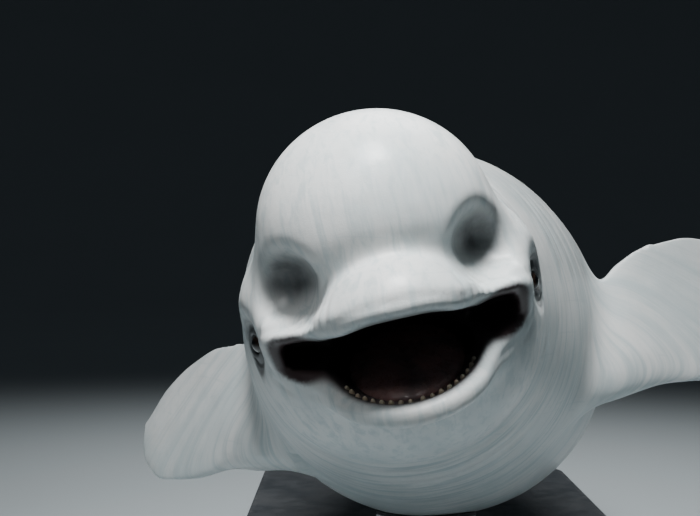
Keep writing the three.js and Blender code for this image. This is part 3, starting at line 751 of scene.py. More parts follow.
        def lidded(points: Points) -> Values:
            """That field.

            Args:
                points: On the straight whale.

            Returns:
                The distance, negative inside.
            """
            across, up, out = ((points - eye.skin) @ eye.axes().T).T
            pinch = np.sqrt(np.maximum(1 - 0.3 * (across / self.lid_across) ** 2, 0.3))
            ring = np.hypot(across / self.lid_across, up / (self.lid_tall * pinch))
            mean = (self.lid_across + self.lid_tall) / 2
            roll = np.hypot((ring - 1) * mean, (out - 1) * 0.9) - self.lid_thick
            skin = self.distance(points)
            for at, depth in self.lid_creases:
                skin = skin + depth * hump((ring - at) * mean, 4)
            skin = blend_min(skin, roll, 7)
            socket = self.eye_radius + self.socket_gap - np.linalg.norm(points - eye.ball, axis=1)
            return blend_max(skin, socket, 2)

        return lidded

    def blow_axes(self) -> Points:
        """Unit vectors at the blowhole, as rows: to the left, back, and out.

        Returns:
            The three rows.
        """
        out = unit(gradient(self.flesh, self.blow_top[None]))[0]
        left = unit(np.array([1.0, 0.0, 0.0]) - out * out[0])
        return np.stack((left, np.cross(out, left), out))

    def blow_middle(self) -> Points:
        """The middle of the circle that the blowhole's crescent lies on."""
        return self.blow_top + np.array([0.0, self.blow_radius * 0.6, 0.0])

    def slit(self, points: Points, axes: Points, middle: Points) -> tuple[Values, Values]:
        """How far points lie from the blowhole's crescent line, and about how far outside its slit.

        Args:
            points: On the straight whale.
            axes: Unit vectors at the blowhole.
            middle: The middle of its circle.

        Returns:
            Both distances for each point.
        """
        left, back, out = ((points - middle) @ axes.T).T
        turn = np.arctan2(left, -back)
        past = np.maximum(np.abs(turn) - self.blow_arc / 2, 0) * self.blow_radius
        off = np.hypot(np.hypot(left, back) - self.blow_radius, past)
        taper = 0.35 + 0.65 * np.cos(np.clip(turn / self.blow_arc, -0.5, 0.5) * math.pi)
        return off, np.maximum(off - self.blow_slit * taper, -(out + self.blow_depth))

    def with_blowhole(self) -> Field:
        """The head's field with the blowhole: a crescent slit, open towards the back, with a soft rim.

        Returns:
            The field.
        """
        axes, middle = self.blow_axes(), self.blow_middle()

        def breathing(points: Points) -> Values:
            """That field.

            Args:
                points: On the straight whale.

            Returns:
                The distance, negative inside.
            """
            off, slit = self.slit(points, axes, middle)
            rim = self.blow_rim * hump(off - self.blow_rim_at, self.blow_rim_width)
            return blend_max(self.distance(points) - rim, -slit, 3)

        return breathing


@dataclass
class Flipper:
    """One flipper: a curved blade on the chest."""

    side: Side
    spine: Spine
    trunk: Trunk
    s: float = 1000.0
    angle: float = math.radians(-19)
    length: float = 455.0
    leading: Curve = Curve((0, 108), (0.2, 104), (0.5, 126), (0.75, 130), (0.9, 98), (0.97, 56), (1, 12))
    trailing: Curve = Curve(
        (0, 104), (0.12, 126), (0.28, 172), (0.46, 194), (0.62, 192), (0.8, 154), (0.93, 90), (1, 10)
    )
    thickness: Curve = Curve((0, 92), (0.25, 66), (0.6, 36), (0.9, 20), (1, 9))
    curl: float = 40.0
    attitudes = {Side.LEFT: (24.0, 76.0, 5.0), Side.RIGHT: (42.0, 68.0, 9.0)}
    blend: float = 46.0
    edge: float = 3.0

    def __post_init__(self) -> None:
        """Sets the blade's own axes on the posed chest."""
        side, spine, trunk = self.side, self.spine, self.trunk
        sweep, pitch, lift = (math.radians(value) for value in self.attitudes[side])
        back, left, up = (axis[0] for axis in spine.axes(np.array([self.s])))
        angle = np.array([self.angle])
        radius = float(trunk.plain_radius(np.array([self.s]), angle)[0])
        root = (side.value * radius * math.cos(self.angle), self.s, radius * math.sin(self.angle))
        self.root = spine.posed(np.array([root]))[0]
        aside = left * side.value * math.cos(lift) + up * math.sin(lift)
        self.span = aside * math.cos(sweep) + back * math.sin(sweep)
        flat = unit(back - self.span * (back @ self.span))
        upright = unit(np.cross(flat, self.span))
        upright *= 1 if upright @ up > 0 else -1
        self.chord = flat * math.cos(pitch) + upright * math.sin(pitch)
        self.face = upright * math.cos(pitch) - flat * math.sin(pitch)

    def local(self, straight: Points) -> Points:
        """Points of the straight whale in the blade's own axes: along its span, its chord and its face."""
        offset = self.spine.posed(straight) - self.root
        return joined(offset @ self.span, offset @ self.chord, offset @ self.face)

    def straight(self, local: Points) -> Points:
        """Points in the blade's own axes, on the straight whale."""
        world = self.root + local @ np.stack((self.span, self.chord, self.face))
        return self.spine.straight(world, self.s)

    def blade(self, local: Points) -> Values:
        """About how far points in the blade's own axes lie outside the blade.

        Args:
            local: Points in the blade's own axes.

        Returns:
            The distance, negative inside.
        """
        place = np.clip(local[:, 0] / self.length, 0, 1)
        ahead, behind, half_thick = self.leading(place), self.trailing(place), self.thickness(place) / 2
        half = (ahead + behind) / 2
        across = local[:, 1] - (behind - ahead) / 2
        thin = half_thick * (1 - 0.35 * np.clip(across / half, -1.2, 1.2))
        offset = joined(across, local[:, 2] - self.curl * place**3)
        return blade_distance(offset, half, thin, self.edge)

    def distance(self, straight: Points) -> Values:
        """The blade grown into the trunk: about the distance outside both, near the root."""
        return blend_min(self.trunk.distance(straight), self.blade(self.local(straight)), self.blend)

    def section(self, out: float, around: Values, share: float = 1.0) -> Points:
        """A ring round the blade, on the straight whale.

        Args:
            out: How far out from the root.
            around: The ring's angles, with 0 at the trailing edge.
            share: The ring's size, as a share of the blade's own.

        Returns:
            The ring's points.
        """
        place = min(max(out, 0) / self.length, 1)
        ahead, behind = float(self.leading(place)), float(self.trailing(place))
        half_thick = float(self.thickness(place)) / 2
        across, off = share * blade_ring((ahead + behind) / 2, half_thick, self.edge, around).T
        across = across + (behind - ahead) / 2
        local = joined(np.full_like(across, out), across, off + self.curl * place**3)
        return self.straight(local)


@dataclass
class Flukes:
    """The tail's two lobes."""

    trunk: Trunk
    span: float = 500.0
    droop: float = 30.0
    blend: float = 44.0
    edge: float = 5.0
    leading: Curve = Curve((0, 3640), (0.12, 3690), (0.35, 3770), (0.65, 3870), (0.88, 3962), (1, 4026))
    trailing: Curve = Curve(
        (0, 3946), (0.08, 3980), (0.28, 4046), (0.52, 4080), (0.78, 4084), (0.93, 4068), (1, 4044)
    )
    thickness: Curve = Curve((0, 66), (0.15, 50), (0.45, 26), (0.8, 12), (1, 6))

    def lobes(self, points: Points) -> Values:
        """About how far points lie outside both lobes.

        Args:
            points: On the straight whale.

        Returns:
            The distance, negative inside.
        """
        t = np.clip(np.abs(points[:, 0]) / self.span, 0, 1)
        ahead, behind = self.leading(t), self.trailing(t)
        half = (behind - ahead) / 2
        along = points[:, 1] - (ahead + behind) / 2
        thin = self.thickness(t) / 2 * (1 - 0.35 * np.clip(along / half, -1.2, 1.2))
        offset = joined(along, points[:, 2] + self.droop * t * t)
        return blade_distance(offset, half, thin, self.edge)

    def distance(self, points: Points) -> Values:
        """The lobes grown into the tail stock: about the distance outside them."""
        return blend_min(self.trunk.capped(points), self.lobes(points), self.blend)

    def section(self, side: Side, t: float, around: Values, share: float = 1.0, past: float = 0.0) -> Points:
        """A ring round one lobe.

        Args:
            side: The lobe's side.
            t: The place along its span, from 0 to 1.
            around: The ring's angles, with 0 at the trailing edge.
            share: The ring's size, as a share of the lobe's own.
            past: How far past that place the ring lies.

        Returns:
            The ring's points.
        """
        ahead, behind = float(self.leading(t)), float(self.trailing(t))
        half_thick = float(self.thickness(t)) / 2
        along, off = share * blade_ring((behind - ahead) / 2, half_thick, self.edge, around).T
        along = along + (ahead + behind) / 2
        across = np.full_like(along, side.value * (t * self.span + past))
        return joined(across, along, off - self.droop * t * t)


# Shells and how they are sewn together


@dataclass
class Shell:
    """Part of a surface: points, and faces that look out. A triangle repeats its last corner."""

    points: Points
    faces: np.ndarray

    def half_edges(self) -> np.ndarray:
        """Each face's edges as pairs of points, in the face's own direction."""
        pairs = np.concatenate([self.faces[:, [k, (k + 1) % 4]] for k in range(4)])
        return pairs[pairs[:, 0] != pairs[:, 1]]

    def open_edges(self) -> np.ndarray:
        """The edges with a face on one side only.

        Returns:
            Pairs of points.
        """
        pairs = self.half_edges()
        count = len(self.points)
        forward, backward = pairs[:, 0] * count + pairs[:, 1], pairs[:, 1] * count + pairs[:, 0]
        return pairs[~np.isin(forward, backward)]

    def kept(self, wanted: np.ndarray) -> Shell:
        """The part of the shell whose corners are all wanted.

        Args:
            wanted: True for each point that may stay.

        Returns:
            A shell whose open edges never touch at a point.
        """
        faces = self.faces[wanted[self.faces].all(axis=1)]
        while True:
            starts = Shell(self.points, faces).open_edges()[:, 0]
            found, times = np.unique(starts, return_counts=True)
            pinched = np.isin(faces, found[times > 1]).any(axis=1)
            if not pinched.any():
                break
            faces = faces[~pinched]
        return self.only(faces).largest()

    def largest(self) -> Shell:
        """The largest connected part of the shell.

        Returns:
            That part.
        """
        group = np.arange(len(self.points))
        edges = self.half_edges()
        while True:
            lowest = group.copy()
            np.minimum.at(lowest, edges[:, 0], group[edges[:, 1]])
            np.minimum.at(lowest, edges[:, 1], group[edges[:, 0]])
            lowest = lowest[lowest]
            if (lowest == group).all():
                break
            group = lowest
        names, sizes = np.unique(group, return_counts=True)
        return self.only(self.faces[(group == names[sizes.argmax()])[self.faces].all(axis=1)])

    def only(self, faces: np.ndarray) -> Shell:
        """The shell with some of its faces, and the points that they use."""
        used, numbers = np.unique(faces, return_inverse=True)
        return Shell(self.points[used], numbers.reshape(faces.shape))

    def listed(self) -> list[list[int]]:
        """The faces as lists, with each corner once."""
        return [list(dict.fromkeys(face)) for face in self.faces.tolist()]

    def piece(self, name: str, material: Material) -> Piece:
        """The shell as a piece of the model."""
        return mesh_object(name, self.points * MM, self.listed(), material)

    def loops(self) -> list[np.ndarray]:
        """The open edges, as closed loops of points.

        Returns:
            The points of each loop, in order.
        """
        following = dict(self.open_edges().tolist())
        found = []
        while following:
            start, at = following.popitem()
            loop = [start]
            while at != start:
                loop.append(at)
                at = following.pop(at)
            found.append(np.array(loop))
        return found

    def looking_out(self, surface: Field) -> Shell:
        """The shell with its faces turned to look the way that a field rises.

        Args:
            surface: The field.

        Returns:
            The turned shell.
        """
        corners = self.points[self.faces]
        normals = np.cross(corners[:, 2] - corners[:, 0], corners[:, 3] - corners[:, 1])
        thin = np.linalg.norm(normals, axis=1) < 1e-9
        normals[thin] = np.cross(corners[thin, 1] - corners[thin, 0], corners[thin, 2] - corners[thin, 0])
        rises = gradient(surface, corners.mean(axis=1))
        if (normals * rises).sum() < 0:
            flipped = self.faces[:, ::-1]
            triangle = self.faces[:, 2] == self.faces[:, 3]
            flipped[triangle] = self.faces[triangle][:, [2, 1, 0, 0]]
            return Shell(self.points, flipped)
        return self

    def evened(self, surface: Field, most: float, rounds: int = 3) -> Shell:
        """The shell with its inner points spread more evenly over the surface.

        Args:
            surface: The field that is zero on the shell.
            most: The furthest that a point may go in a round.
            rounds: How many rounds are taken.

        Returns:
            The evened shell.
        """
        still = np.unique(self.open_edges())
        at = self.points
        for _ in range(rounds):
            middle = Shell(at, self.faces).middles()
            middle[still] = at[still]
            at = settled(surface, (at + middle) / 2, most, 2)
        return Shell(at, self.faces)

    def middles(self) -> Points:
        """The middle of each point's neighbours.

        Returns:
            A middle for each point.
        """
        edges = self.half_edges()
        total, times = np.zeros_like(self.points), np.zeros(len(self.points))
        for a, b in ((0, 1), (1, 0)):
            np.add.at(total, edges[:, a], self.points[edges[:, b]])
            np.add.at(times, edges[:, a], 1)
        return total / np.maximum(times, 1)[:, None]


def net(surface: Field, lines: Sequence[Values], place: Callable[[Points], Points] | None = None) -> Shell:
    """The surface where a field is zero, with one point for each grid cell that it crosses.

    Args:
        surface: The field, on the straight whale.
        lines: The grid's lines along its three axes.
        place: Carries the grid's points to the straight whale, where the grid has axes of its own.

    Returns:
        The surface, open where it leaves the grid.
    """
    place = place or (lambda points: points)
    shape = tuple(len(axis) for axis in lines)
    grid = np.stack(np.meshgrid(*lines, indexing="ij"), axis=-1).reshape(-1, 3)
    values = surface(place(grid)).reshape(shape)
    inside = values <= 0
    cells = tuple(n - 1 for n in shape)
    corners = [np.array(c) for c in np.ndindex(2, 2, 2)]

    def at_corner(array: np.ndarray, corner: np.ndarray) -> np.ndarray:
        """An array's values at one corner of each cell."""
        return array[tuple(slice(c, c + n) for c, n in zip(corner, cells))]

    total, times = np.zeros((*cells, 3)), np.zeros(cells)
    for corner in corners:
        for axis in np.nonzero(corner == 0)[0]:
            other = corner.copy()
            other[axis] = 1
            here, there = at_corner(values, corner), at_corner(values, other)
            crossed = at_corner(inside, corner) != at_corner(inside, other)
            share = np.where(crossed, here / np.where(crossed, here - there, 1), 0)
            total += crossed[..., None] * corner
            total[..., axis] += share
            times += crossed
    mixed = times > 0
    where = np.argwhere(mixed)
    mean = total[mixed] / times[mixed][:, None]
    numbers = np.full(cells, -1)
    numbers[mixed] = np.arange(len(where))
    points = []
    for axis, line in enumerate(lines):
        cell = where[:, axis]
        points.append(line[cell] + mean[:, axis] * (line[cell + 1] - line[cell]))
    faces = []
    for axis in range(3):
        p, q = (axis + 1) % 3, (axis + 2) % 3
        low = [slice(1, n) for n in cells]
        high = [slice(1, n) for n in cells]
        low[axis], high[axis] = slice(0, cells[axis]), slice(1, cells[axis] + 1)
        changes = inside[tuple(low)] != inside[tuple(high)]
        start = np.argwhere(changes) + np.array([0 if a == axis else 1 for a in range(3)])
        outward = inside[tuple(low)][changes]
        quad = []
        for m, n in ((1, 1), (0, 1), (0, 0), (1, 0)):
            cell = start.copy()
            cell[:, p] -= m
            cell[:, q] -= n
            quad.append(numbers[tuple(cell.T)])
        quad = np.stack(quad, axis=-1)
        quad[~outward] = quad[~outward][:, ::-1]
        faces.append(quad)
    spacing = min(float(np.diff(axis).min()) for axis in lines)
    shell = Shell(settled(surface, place(joined(*points)), 0.7 * spacing), np.concatenate(faces))
    return shell.looking_out(surface)


def rings(loops: Sequence[Points], tip: Points | None = None) -> Shell:
    """A tube through rings of points, closed at its far end where there is a tip.

    Args:
        loops: The rings, each with as many points.
        tip: A point past the last ring, or nothing.

    Returns:
        The tube, whose faces may look in.
    """
    rows, around = len(loops), len(loops[0])
    number = np.arange(rows * around).reshape(rows, around)
    following = np.roll(number, -1, axis=1)
    faces = [joined(number[:-1], following[:-1], following[1:], number[1:]).reshape(-1, 4)]
    points = [np.concatenate(loops)]
    if tip is not None:
        end = np.full(around, rows * around)
        faces.append(joined(number[-1], following[-1], end, end))
        points.append(tip[None])
    return Shell(np.concatenate(points), np.concatenate(faces))


class Patchwork:
    """Shells gathered into one surface, with strips of triangles sewn between their open edges."""

    rounds, reach = 4, 6.0

    def __init__(self) -> None:
        """Starts with nothing."""
        self.points = np.empty((0, 3))
        self.faces = np.empty((0, 4), int)
        self.loops: list[np.ndarray] = []
        self.parts: list[tuple[int, int, Field]] = []

    def add(self, shell: Shell, surface: Field) -> None:
        """Takes in a shell of a surface.

        Args:
            shell: The shell.
            surface: The field that is zero on it.
        """
        start = len(self.points)
        self.points = np.vstack((self.points, shell.points))
        self.faces = np.vstack((self.faces, shell.faces + start))
        self.loops += [loop + start for loop in shell.loops()]
        self.parts.append((start, len(self.points), surface))

    def sew(self) -> None:
        """Sews open edges in pairs, always the two whose middles are nearest, and evens out the seams."""
        seams = np.unique(np.concatenate(self.loops))
        waiting = list(self.loops)
        while len(waiting) > 1:
            middles = np.array([self.points[loop].mean(axis=0) for loop in waiting])
            gaps = np.linalg.norm(middles[:, None] - middles[None], axis=-1)
            gaps[np.tril_indices(len(waiting))] = np.inf
            i, j = np.unravel_index(gaps.argmin(), gaps.shape)
            second, first = waiting.pop(j), waiting.pop(i)
            self.faces = np.vstack((self.faces, self.strip(first, second)))
        self.loops = waiting
        for _ in range(self.rounds):
            self.even_out(seams)

    def turns(self, loop: np.ndarray, middle: Points, axes: Points) -> Values:
        """How far round the seam each point of a loop lies, from its first point on, never going back.

        Args:
            loop: The loop's points.
            middle: The seam's middle.
            axes: Two unit vectors across the seam.

        Returns:
            The angles, in radians.
        """
        across, aloft = ((self.points[loop] - middle) @ axes.T).T
        turn = np.unwrap(np.arctan2(aloft, across))
        turn = turn * (1 if turn[-1] > turn[0] else -1)
        return np.maximum.accumulate(turn)

    def strip(self, first: np.ndarray, second: np.ndarray) -> np.ndarray:
        """Triangles between two open edges, which each run in their own faces' direction.

        Args:
            first: One edge's points.
            second: The other's points.

        Returns:
            The triangles.
        """
        second = second[::-1]
        nearest = np.linalg.norm(self.points[second] - self.points[first[0]], axis=1).argmin()
        second = np.roll(second, -nearest)
        both = self.points[np.concatenate((first, second))]
        middle = both.mean(axis=0)
        axes = np.linalg.svd(both - middle, full_matrices=False)[2][:2]
        a, b = np.append(first, first[0]), np.append(second, second[0])
        turn_a, turn_b = self.turns(first, middle, axes), self.turns(second, middle, axes)
        turn_a, turn_b = (np.append(turn - turn[0], 2 * math.pi) for turn in (turn_a, turn_b))
        faces, i, j = [], 0, 0
        while i < len(first) or j < len(second):
            ahead_a = turn_a[i] + turn_a[i + 1] if i < len(first) else math.inf
            ahead_b = turn_b[j] + turn_b[j + 1] if j < len(second) else math.inf
            if ahead_a <= ahead_b:
                faces.append((a[i + 1], a[i], b[j], b[j]))
                i += 1
            else:
                faces.append((b[j], b[j + 1], a[i], a[i]))
                j += 1
        return np.array(faces)

    def even_out(self, seams: np.ndarray) -> None:
        """Moves the points along the seams to the middle of their neighbours, and back onto their surface.

        Args:
            seams: Those points.
        """
        middle = Shell(self.points, self.faces).middles()
        for start, end, surface in self.parts:
            mine = seams[(seams >= start) & (seams < end)]
            if len(mine):
                between = (self.points[mine] + 2 * middle[mine]) / 3
                self.points[mine] = settled(surface, between, self.reach, 3)


@dataclass
class Window:
    """A round window in the head's skin, filled with a finer net of its own."""

    surface: Field
    middle: Points
    axes: Points
    radius: float
    cell: float
    depth: Pair

    def off_axis(self, points: Points) -> Values:
        """How far points lie from the window's axis, and infinity for points far along it.

        Args:
            points: On the straight whale.

        Returns:
            The distance for each point.
        """
        left, back, out = ((points - self.middle) @ self.axes.T).T
        near = (out > self.depth[0]) & (out < self.depth[1])
        return np.where(near, np.hypot(left, back), np.inf)

    def filling(self) -> Shell:
        """The finer net inside the window.

        Returns:
            The net.
        """
        reach = self.radius + 2 * self.cell
        lines = [
            np.arange(-reach, reach + self.cell, self.cell),
            np.arange(-reach, reach + self.cell, self.cell),
            np.arange(self.depth[0], self.depth[1] + self.cell, self.cell),
        ]
        shell = net(self.surface, lines, lambda points: self.middle + points @ self.axes)
        return shell.kept(self.off_axis(shell.points) < self.radius)


# Finishes


class Tree:
    """A material's nodes, put together in few words."""

    def __init__(self, name: str) -> None:
        """Makes a material with a Principled shader.

        Args:
            name: The material's name.
        """
        self.material = bpy.data.materials.new(name)
        self.material.use_nodes = True
        self.nodes = self.material.node_tree.nodes
        self.links = self.material.node_tree.links
        self.shader = self.nodes["Principled BSDF"]
        self.place = self.add("ShaderNodeTexCoord").outputs["Object"]

    def add(self, kind: str, **settings: object) -> Node:
        """Adds a node with settings.

        Args:
            kind: The node's type.
            settings: Its settings.

        Returns:
            The node.
        """
        node = self.nodes.new(kind)
        for name, value in settings.items():
            setattr(node, name, value)
        return node

    def join(self, start: Socket, end: Socket) -> None:
        """Links two sockets."""
        self.links.new(start, end)

    def attribute(self, name: str) -> Node:
        """One of the mesh's attributes."""
        return self.add("ShaderNodeAttribute", attribute_name=name)

    def noise(
        self, scale: float, detail: int = 3, rough: float = 0.5, bend: float = 0, place: Socket | None = None
    ) -> Socket:
        """Noise, from 0 to 1.

        Args:
            scale: How fine it is.
            detail: How many finer layers it has.
            rough: How strong those are.
            bend: How far it is bent.
            place: Its coordinates, or nothing for the object's own.

        Returns:
            The noise.
        """
        node = self.add("ShaderNodeTexNoise")
        for name, value in (("Scale", scale), ("Detail", detail), ("Roughness", rough), ("Distortion", bend)):
            node.inputs[name].default_value = value
        self.join(place or self.place, node.inputs["Vector"])
        return node.outputs["Fac"]

    def scaled(self, place: Socket, scale: Triple) -> Socket:
        """Coordinates, stretched.

        Args:
            place: The coordinates.
            scale: The stretch along each axis.

        Returns:
            The stretched coordinates.
        """
        node = self.add("ShaderNodeMapping")
        node.inputs["Scale"].default_value = scale
        self.join(place, node.inputs["Vector"])
        return node.outputs["Vector"]

    def range(self, value: Socket, start: Pair, end: Pair = (0.0, 1.0)) -> Socket:
        """A value carried smoothly from one range to another.

        Args:
            value: The value.
            start: The range that it comes from.
            end: The range that it goes to.

        Returns:
            The carried value.
        """
        node = self.add("ShaderNodeMapRange", interpolation_type="SMOOTHSTEP")
        for name, number in zip(("From Min", "From Max", "To Min", "To Max"), (*start, *end)):
            node.inputs[name].default_value = number
        self.join(value, node.inputs["Value"])
        return node.outputs["Result"]

    def times(self, a: Socket, b: Socket | float) -> Socket:
        """Two values multiplied.

        Args:
            a: One value.
            b: The other.

        Returns:
            Their product.
        """
        node = self.add("ShaderNodeMath", operation="MULTIPLY")
        self.join(a, node.inputs[0])
        if isinstance(b, float):
            node.inputs[1].default_value = b
        else:
            self.join(b, node.inputs[1])
        return node.outputs[0]

    def mix(self, share: Socket, a: Socket | Triple, b: Socket | Triple) -> Socket:
        """A colour between two others.

        Args:
            share: The second colour's share.
            a: The first colour.
            b: The second colour.

        Returns:
            The mixed colour.
        """
        node = self.add("ShaderNodeMix", data_type="RGBA")
        self.join(share, node.inputs[0])
        for socket, colour in ((node.inputs[6], a), (node.inputs[7], b)):
            if isinstance(colour, tuple):
                socket.default_value = (*colour, 1.0)
            else:
                self.join(colour, socket)
        return node.outputs[2]

    def bump(self, height: Socket, distance: float, under: Socket | None = None) -> Socket:
        """A bump of so many metres, over another.

        Args:
            height: The pattern.
            distance: How high it stands.
            under: The bump below it, or nothing.

        Returns:
            The bent normal.
        """
        node = self.add("ShaderNodeBump")
        node.inputs["Strength"].default_value = 1.0
        node.inputs["Distance"].default_value = distance
        self.join(height, node.inputs["Height"])
        if under is not None:
            self.join(under, node.inputs["Normal"])
        return node.outputs["Normal"]

    def set(self, **values: object) -> None:
        """Sets the shader's own sockets, named with underscores for spaces, or links them.

        Args:
            values: A value or a socket for each.
        """
        for name, value in values.items():
            socket = self.shader.inputs[name.replace("_", " ")]
            if isinstance(value, Socket):
                self.join(value, socket)
            else:
                socket.default_value = value


@dataclass(frozen=True)
class SkinFinish:
    """A beluga's skin: white with a cool cast, faintly mottled and streaked, with painted shade round the
    eyes, in the hollows and in the blowhole's slit, and a mouth lining darkened partly as painted shade.
    """

    white: Triple = (0.80, 0.83, 0.825)
    cool: Triple = (0.50, 0.60, 0.62)
    warm: Triple = (0.79, 0.775, 0.735)
    # The colour of the painted shade in the hollows beside the snout, round the eyes and in the blowhole's
    # slit
    painted_shade: Triple = (0.055, 0.062, 0.068)
    # The mouth's lining: its own dusky colour, darkened further as painted shade inside the open mouth
    lining_and_painted_shade: Triple = (0.05, 0.034, 0.036)
    roughness: Pair = (0.36, 0.5)
    grain: float = 0.00025
    wrinkle: float = 0.0016

    def material(self) -> Material:
        """The skin's material.

        Returns:
            The material.
        """
        tree = Tree("beluga_skin")
        hoop = tree.attribute("hoop").outputs["Vector"]
        straight = tree.attribute("straight").outputs["Vector"]
        creased = tree.attribute("creased").outputs["Fac"]
        clouds = tree.range(tree.noise(4.5, 4, 0.5, 0.4), (0.36, 0.68))
        colour = tree.mix(tree.times(clouds, 0.55), self.white, self.cool)
        stains = tree.range(tree.noise(7.5, 5, 0.6, 0.4), (0.52, 0.72))
        colour = tree.mix(tree.times(stains, 0.3), colour, self.warm)
        upright = tree.scaled(straight, (70, 50, 7))
        streaks = tree.range(tree.noise(1.0, 4, 0.62, 0.5, upright), (0.44, 0.68))
        facial = tree.range(creased, (0.0, 1.0), (0.62, 0.12))
        colour = tree.mix(tree.times(streaks, facial), colour, self.cool)
        lines = tree.range(tree.noise(1.0, 4, 0.6, 0.35, hoop), (0.44, 0.66))
        colour = tree.mix(tree.times(tree.times(lines, creased), 0.78), colour, self.cool)
        across = tree.scaled(tree.place, (9, 2.2, 60))
        scratches = tree.range(tree.noise(1.0, 2, 0.5, 1.2, across), (0.66, 0.7))
        colour = tree.mix(tree.times(scratches, 0.22), colour, self.cool)
        # Painted shade in the hollows, round the eyes and in the blowhole's slit, broken up a little by noise
        blotch = tree.range(tree.noise(30, 3), (0.2, 0.8), (0.85, 1.1))
        painted_shade = tree.times(tree.attribute("painted_shade").outputs["Fac"], blotch)
        painted_shade.node.use_clamp = True
        colour = tree.mix(painted_shade, colour, self.painted_shade)
        # The mouth's lining, painted very dark partly as the shade inside the open mouth
        mouth = tree.attribute("mouth").outputs["Fac"]
        colour = tree.mix(mouth, colour, self.lining_and_painted_shade)
        dull = tree.range(tree.noise(24, 4), (0.3, 0.7), self.roughness)
        fine = tree.bump(tree.noise(420, 3, 0.6), self.grain)
        wrinkles = tree.times(tree.noise(1.0, 4, 0.55, 0.3, hoop), creased)
        normal = tree.bump(wrinkles, self.wrinkle, fine)
        dents = tree.bump(tree.noise(16, 3, 0.5), 0.0018, normal)
        tree.set(Base_Color=colour, Roughness=dull, Normal=dents)
        tree.set(Subsurface_Weight=0.06, Subsurface_Radius=(0.012, 0.010, 0.009), Subsurface_Scale=1.0)
        tree.set(Coat_Weight=0.12, Coat_Roughness=0.28, Specular_IOR_Level=0.45)
        return tree.material


@dataclass(frozen=True)
class ToothFinish:
    """Worn ivory, browner in places."""

    ivory: Triple = (0.52, 0.46, 0.35)
    stain: Triple = (0.36, 0.27, 0.17)

    def material(self) -> Material:
        """The teeth's material.

        Returns:
            The material.
        """
        tree = Tree("tooth_ivory")
        worn = tree.range(tree.noise(90, 4, 0.6), (0.4, 0.75))
        colour = tree.mix(tree.times(worn, 0.6), self.ivory, self.stain)
        normal = tree.bump(tree.noise(700, 2), 0.0002)
        tree.set(Base_Color=colour, Roughness=0.34, Normal=normal, Subsurface_Weight=0.05)
        return tree.material


@dataclass(frozen=True)
class TongueFinish:
    """A moist tongue, dusky pink with grey patches, and duller in places."""

    pink: Triple = (0.34, 0.19, 0.175)
    grey: Triple = (0.17, 0.125, 0.125)

    def material(self) -> Material:
        """The tongue's material.

        Returns:
            The material.
        """
        tree = Tree("tongue_flesh")
        patches = tree.range(tree.noise(26, 4, 0.6), (0.35, 0.7))
        colour = tree.mix(patches, self.pink, self.grey)
        buds = tree.bump(tree.noise(520, 2, 0.5), 0.0006)
        normal = tree.bump(tree.noise(60, 3), 0.002, buds)
        wet = tree.range(tree.noise(40, 3), (0.3, 0.7), (0.22, 0.4))
        tree.set(Base_Color=colour, Roughness=wet, Normal=normal, Subsurface_Weight=0.05, Coat_Weight=0.4)
        return tree.material


@dataclass(frozen=True)
class EyeFinish:
    """A dark, wet eye: a brown iris round a wide pupil, and a dusky white at the rim."""

    pupil: Triple = (0.002, 0.002, 0.003)
    iris: Triple = (0.030, 0.016, 0.009)
    white: Triple = (0.12, 0.10, 0.09)

    def material(self) -> Material:
        """The eyes' material.

        Returns:
            The material.
        """
        tree = Tree("eye_wet")
        rim = tree.attribute("rim").outputs["Fac"]
        rays = tree.range(tree.noise(900, 3, 0.7, 1.0), (0.3, 0.7), (0.6, 1.0))
        iris = tree.mix(rays, self.pupil, self.iris)
        colour = tree.mix(tree.range(rim, (0.36, 0.42)), self.pupil, iris)
        colour = tree.mix(tree.range(rim, (0.66, 0.76)), colour, self.white)
        tree.set(Base_Color=colour, Roughness=0.12, Coat_Weight=1.0, Coat_Roughness=0.02)
        return tree.material


@dataclass(frozen=True)
class PaintFinish:
    """Satin paint on a board, with a faint roller texture and rubbed edges."""

    colour: Triple = (0.040, 0.047, 0.054)
    rubbed: Triple = (0.10, 0.105, 0.11)

    def material(self) -> Material:
        """The base's material.

        Returns:
            The material.
        """
        tree = Tree("board_paint")
        cloud = tree.range(tree.noise(5, 4), (0.35, 0.7), (0.0, 0.35))
        colour = tree.mix(cloud, self.colour, self.rubbed)
        edge = tree.attribute("edge").outputs["Fac"]
        worn = tree.times(edge, tree.range(tree.noise(34, 5, 0.7), (0.45, 0.65)))
        colour = tree.mix(worn, colour, self.rubbed)
        roller = tree.bump(tree.noise(260, 3, 0.6), 0.0004)
        dull = tree.range(tree.noise(18, 4), (0.3, 0.7), (0.34, 0.5))
        tree.set(Base_Color=colour, Roughness=dull, Normal=roller)
        return tree.material


@dataclass(frozen=True)
class SteelFinish:
    """Brushed steel, with the marks running round or along the piece."""

    name: str = "steel_brushed"
    stretch: Triple = (14.0, 14.0, 900.0)
    bright: Triple = (0.60, 0.61, 0.62)
    dull: Triple = (0.42, 0.43, 0.44)

    def material(self) -> Material:
        """The steel's material.

        Returns:
            The material.
        """
        tree = Tree(self.name)
        marks = tree.noise(1.0, 4, 0.65, place=tree.scaled(tree.place, self.stretch))
        colour = tree.mix(tree.range(marks, (0.3, 0.7)), self.dull, self.bright)
        haze = tree.range(tree.noise(12, 3), (0.3, 0.7), (0.24, 0.4))
        tree.set(Base_Color=colour, Metallic=1.0, Roughness=haze, Normal=tree.bump(marks, 0.00012))
        return tree.material


@dataclass(frozen=True)
class PadFinish:
    """Dark rubber that cushions the saddles."""

    colour: Triple = (0.022, 0.023, 0.025)

    def material(self) -> Material:
        """The pads' material.

        Returns:
            The material.
        """
        tree = Tree("pad_rubber")
        dust = tree.range(tree.noise(40, 4), (0.5, 0.8), (0.0, 0.5))
        colour = tree.mix(dust, self.colour, (0.09, 0.09, 0.09))
        tree.set(Base_Color=colour, Roughness=0.7, Normal=tree.bump(tree.noise(600, 2), 0.0003))
        return tree.material


# Pieces


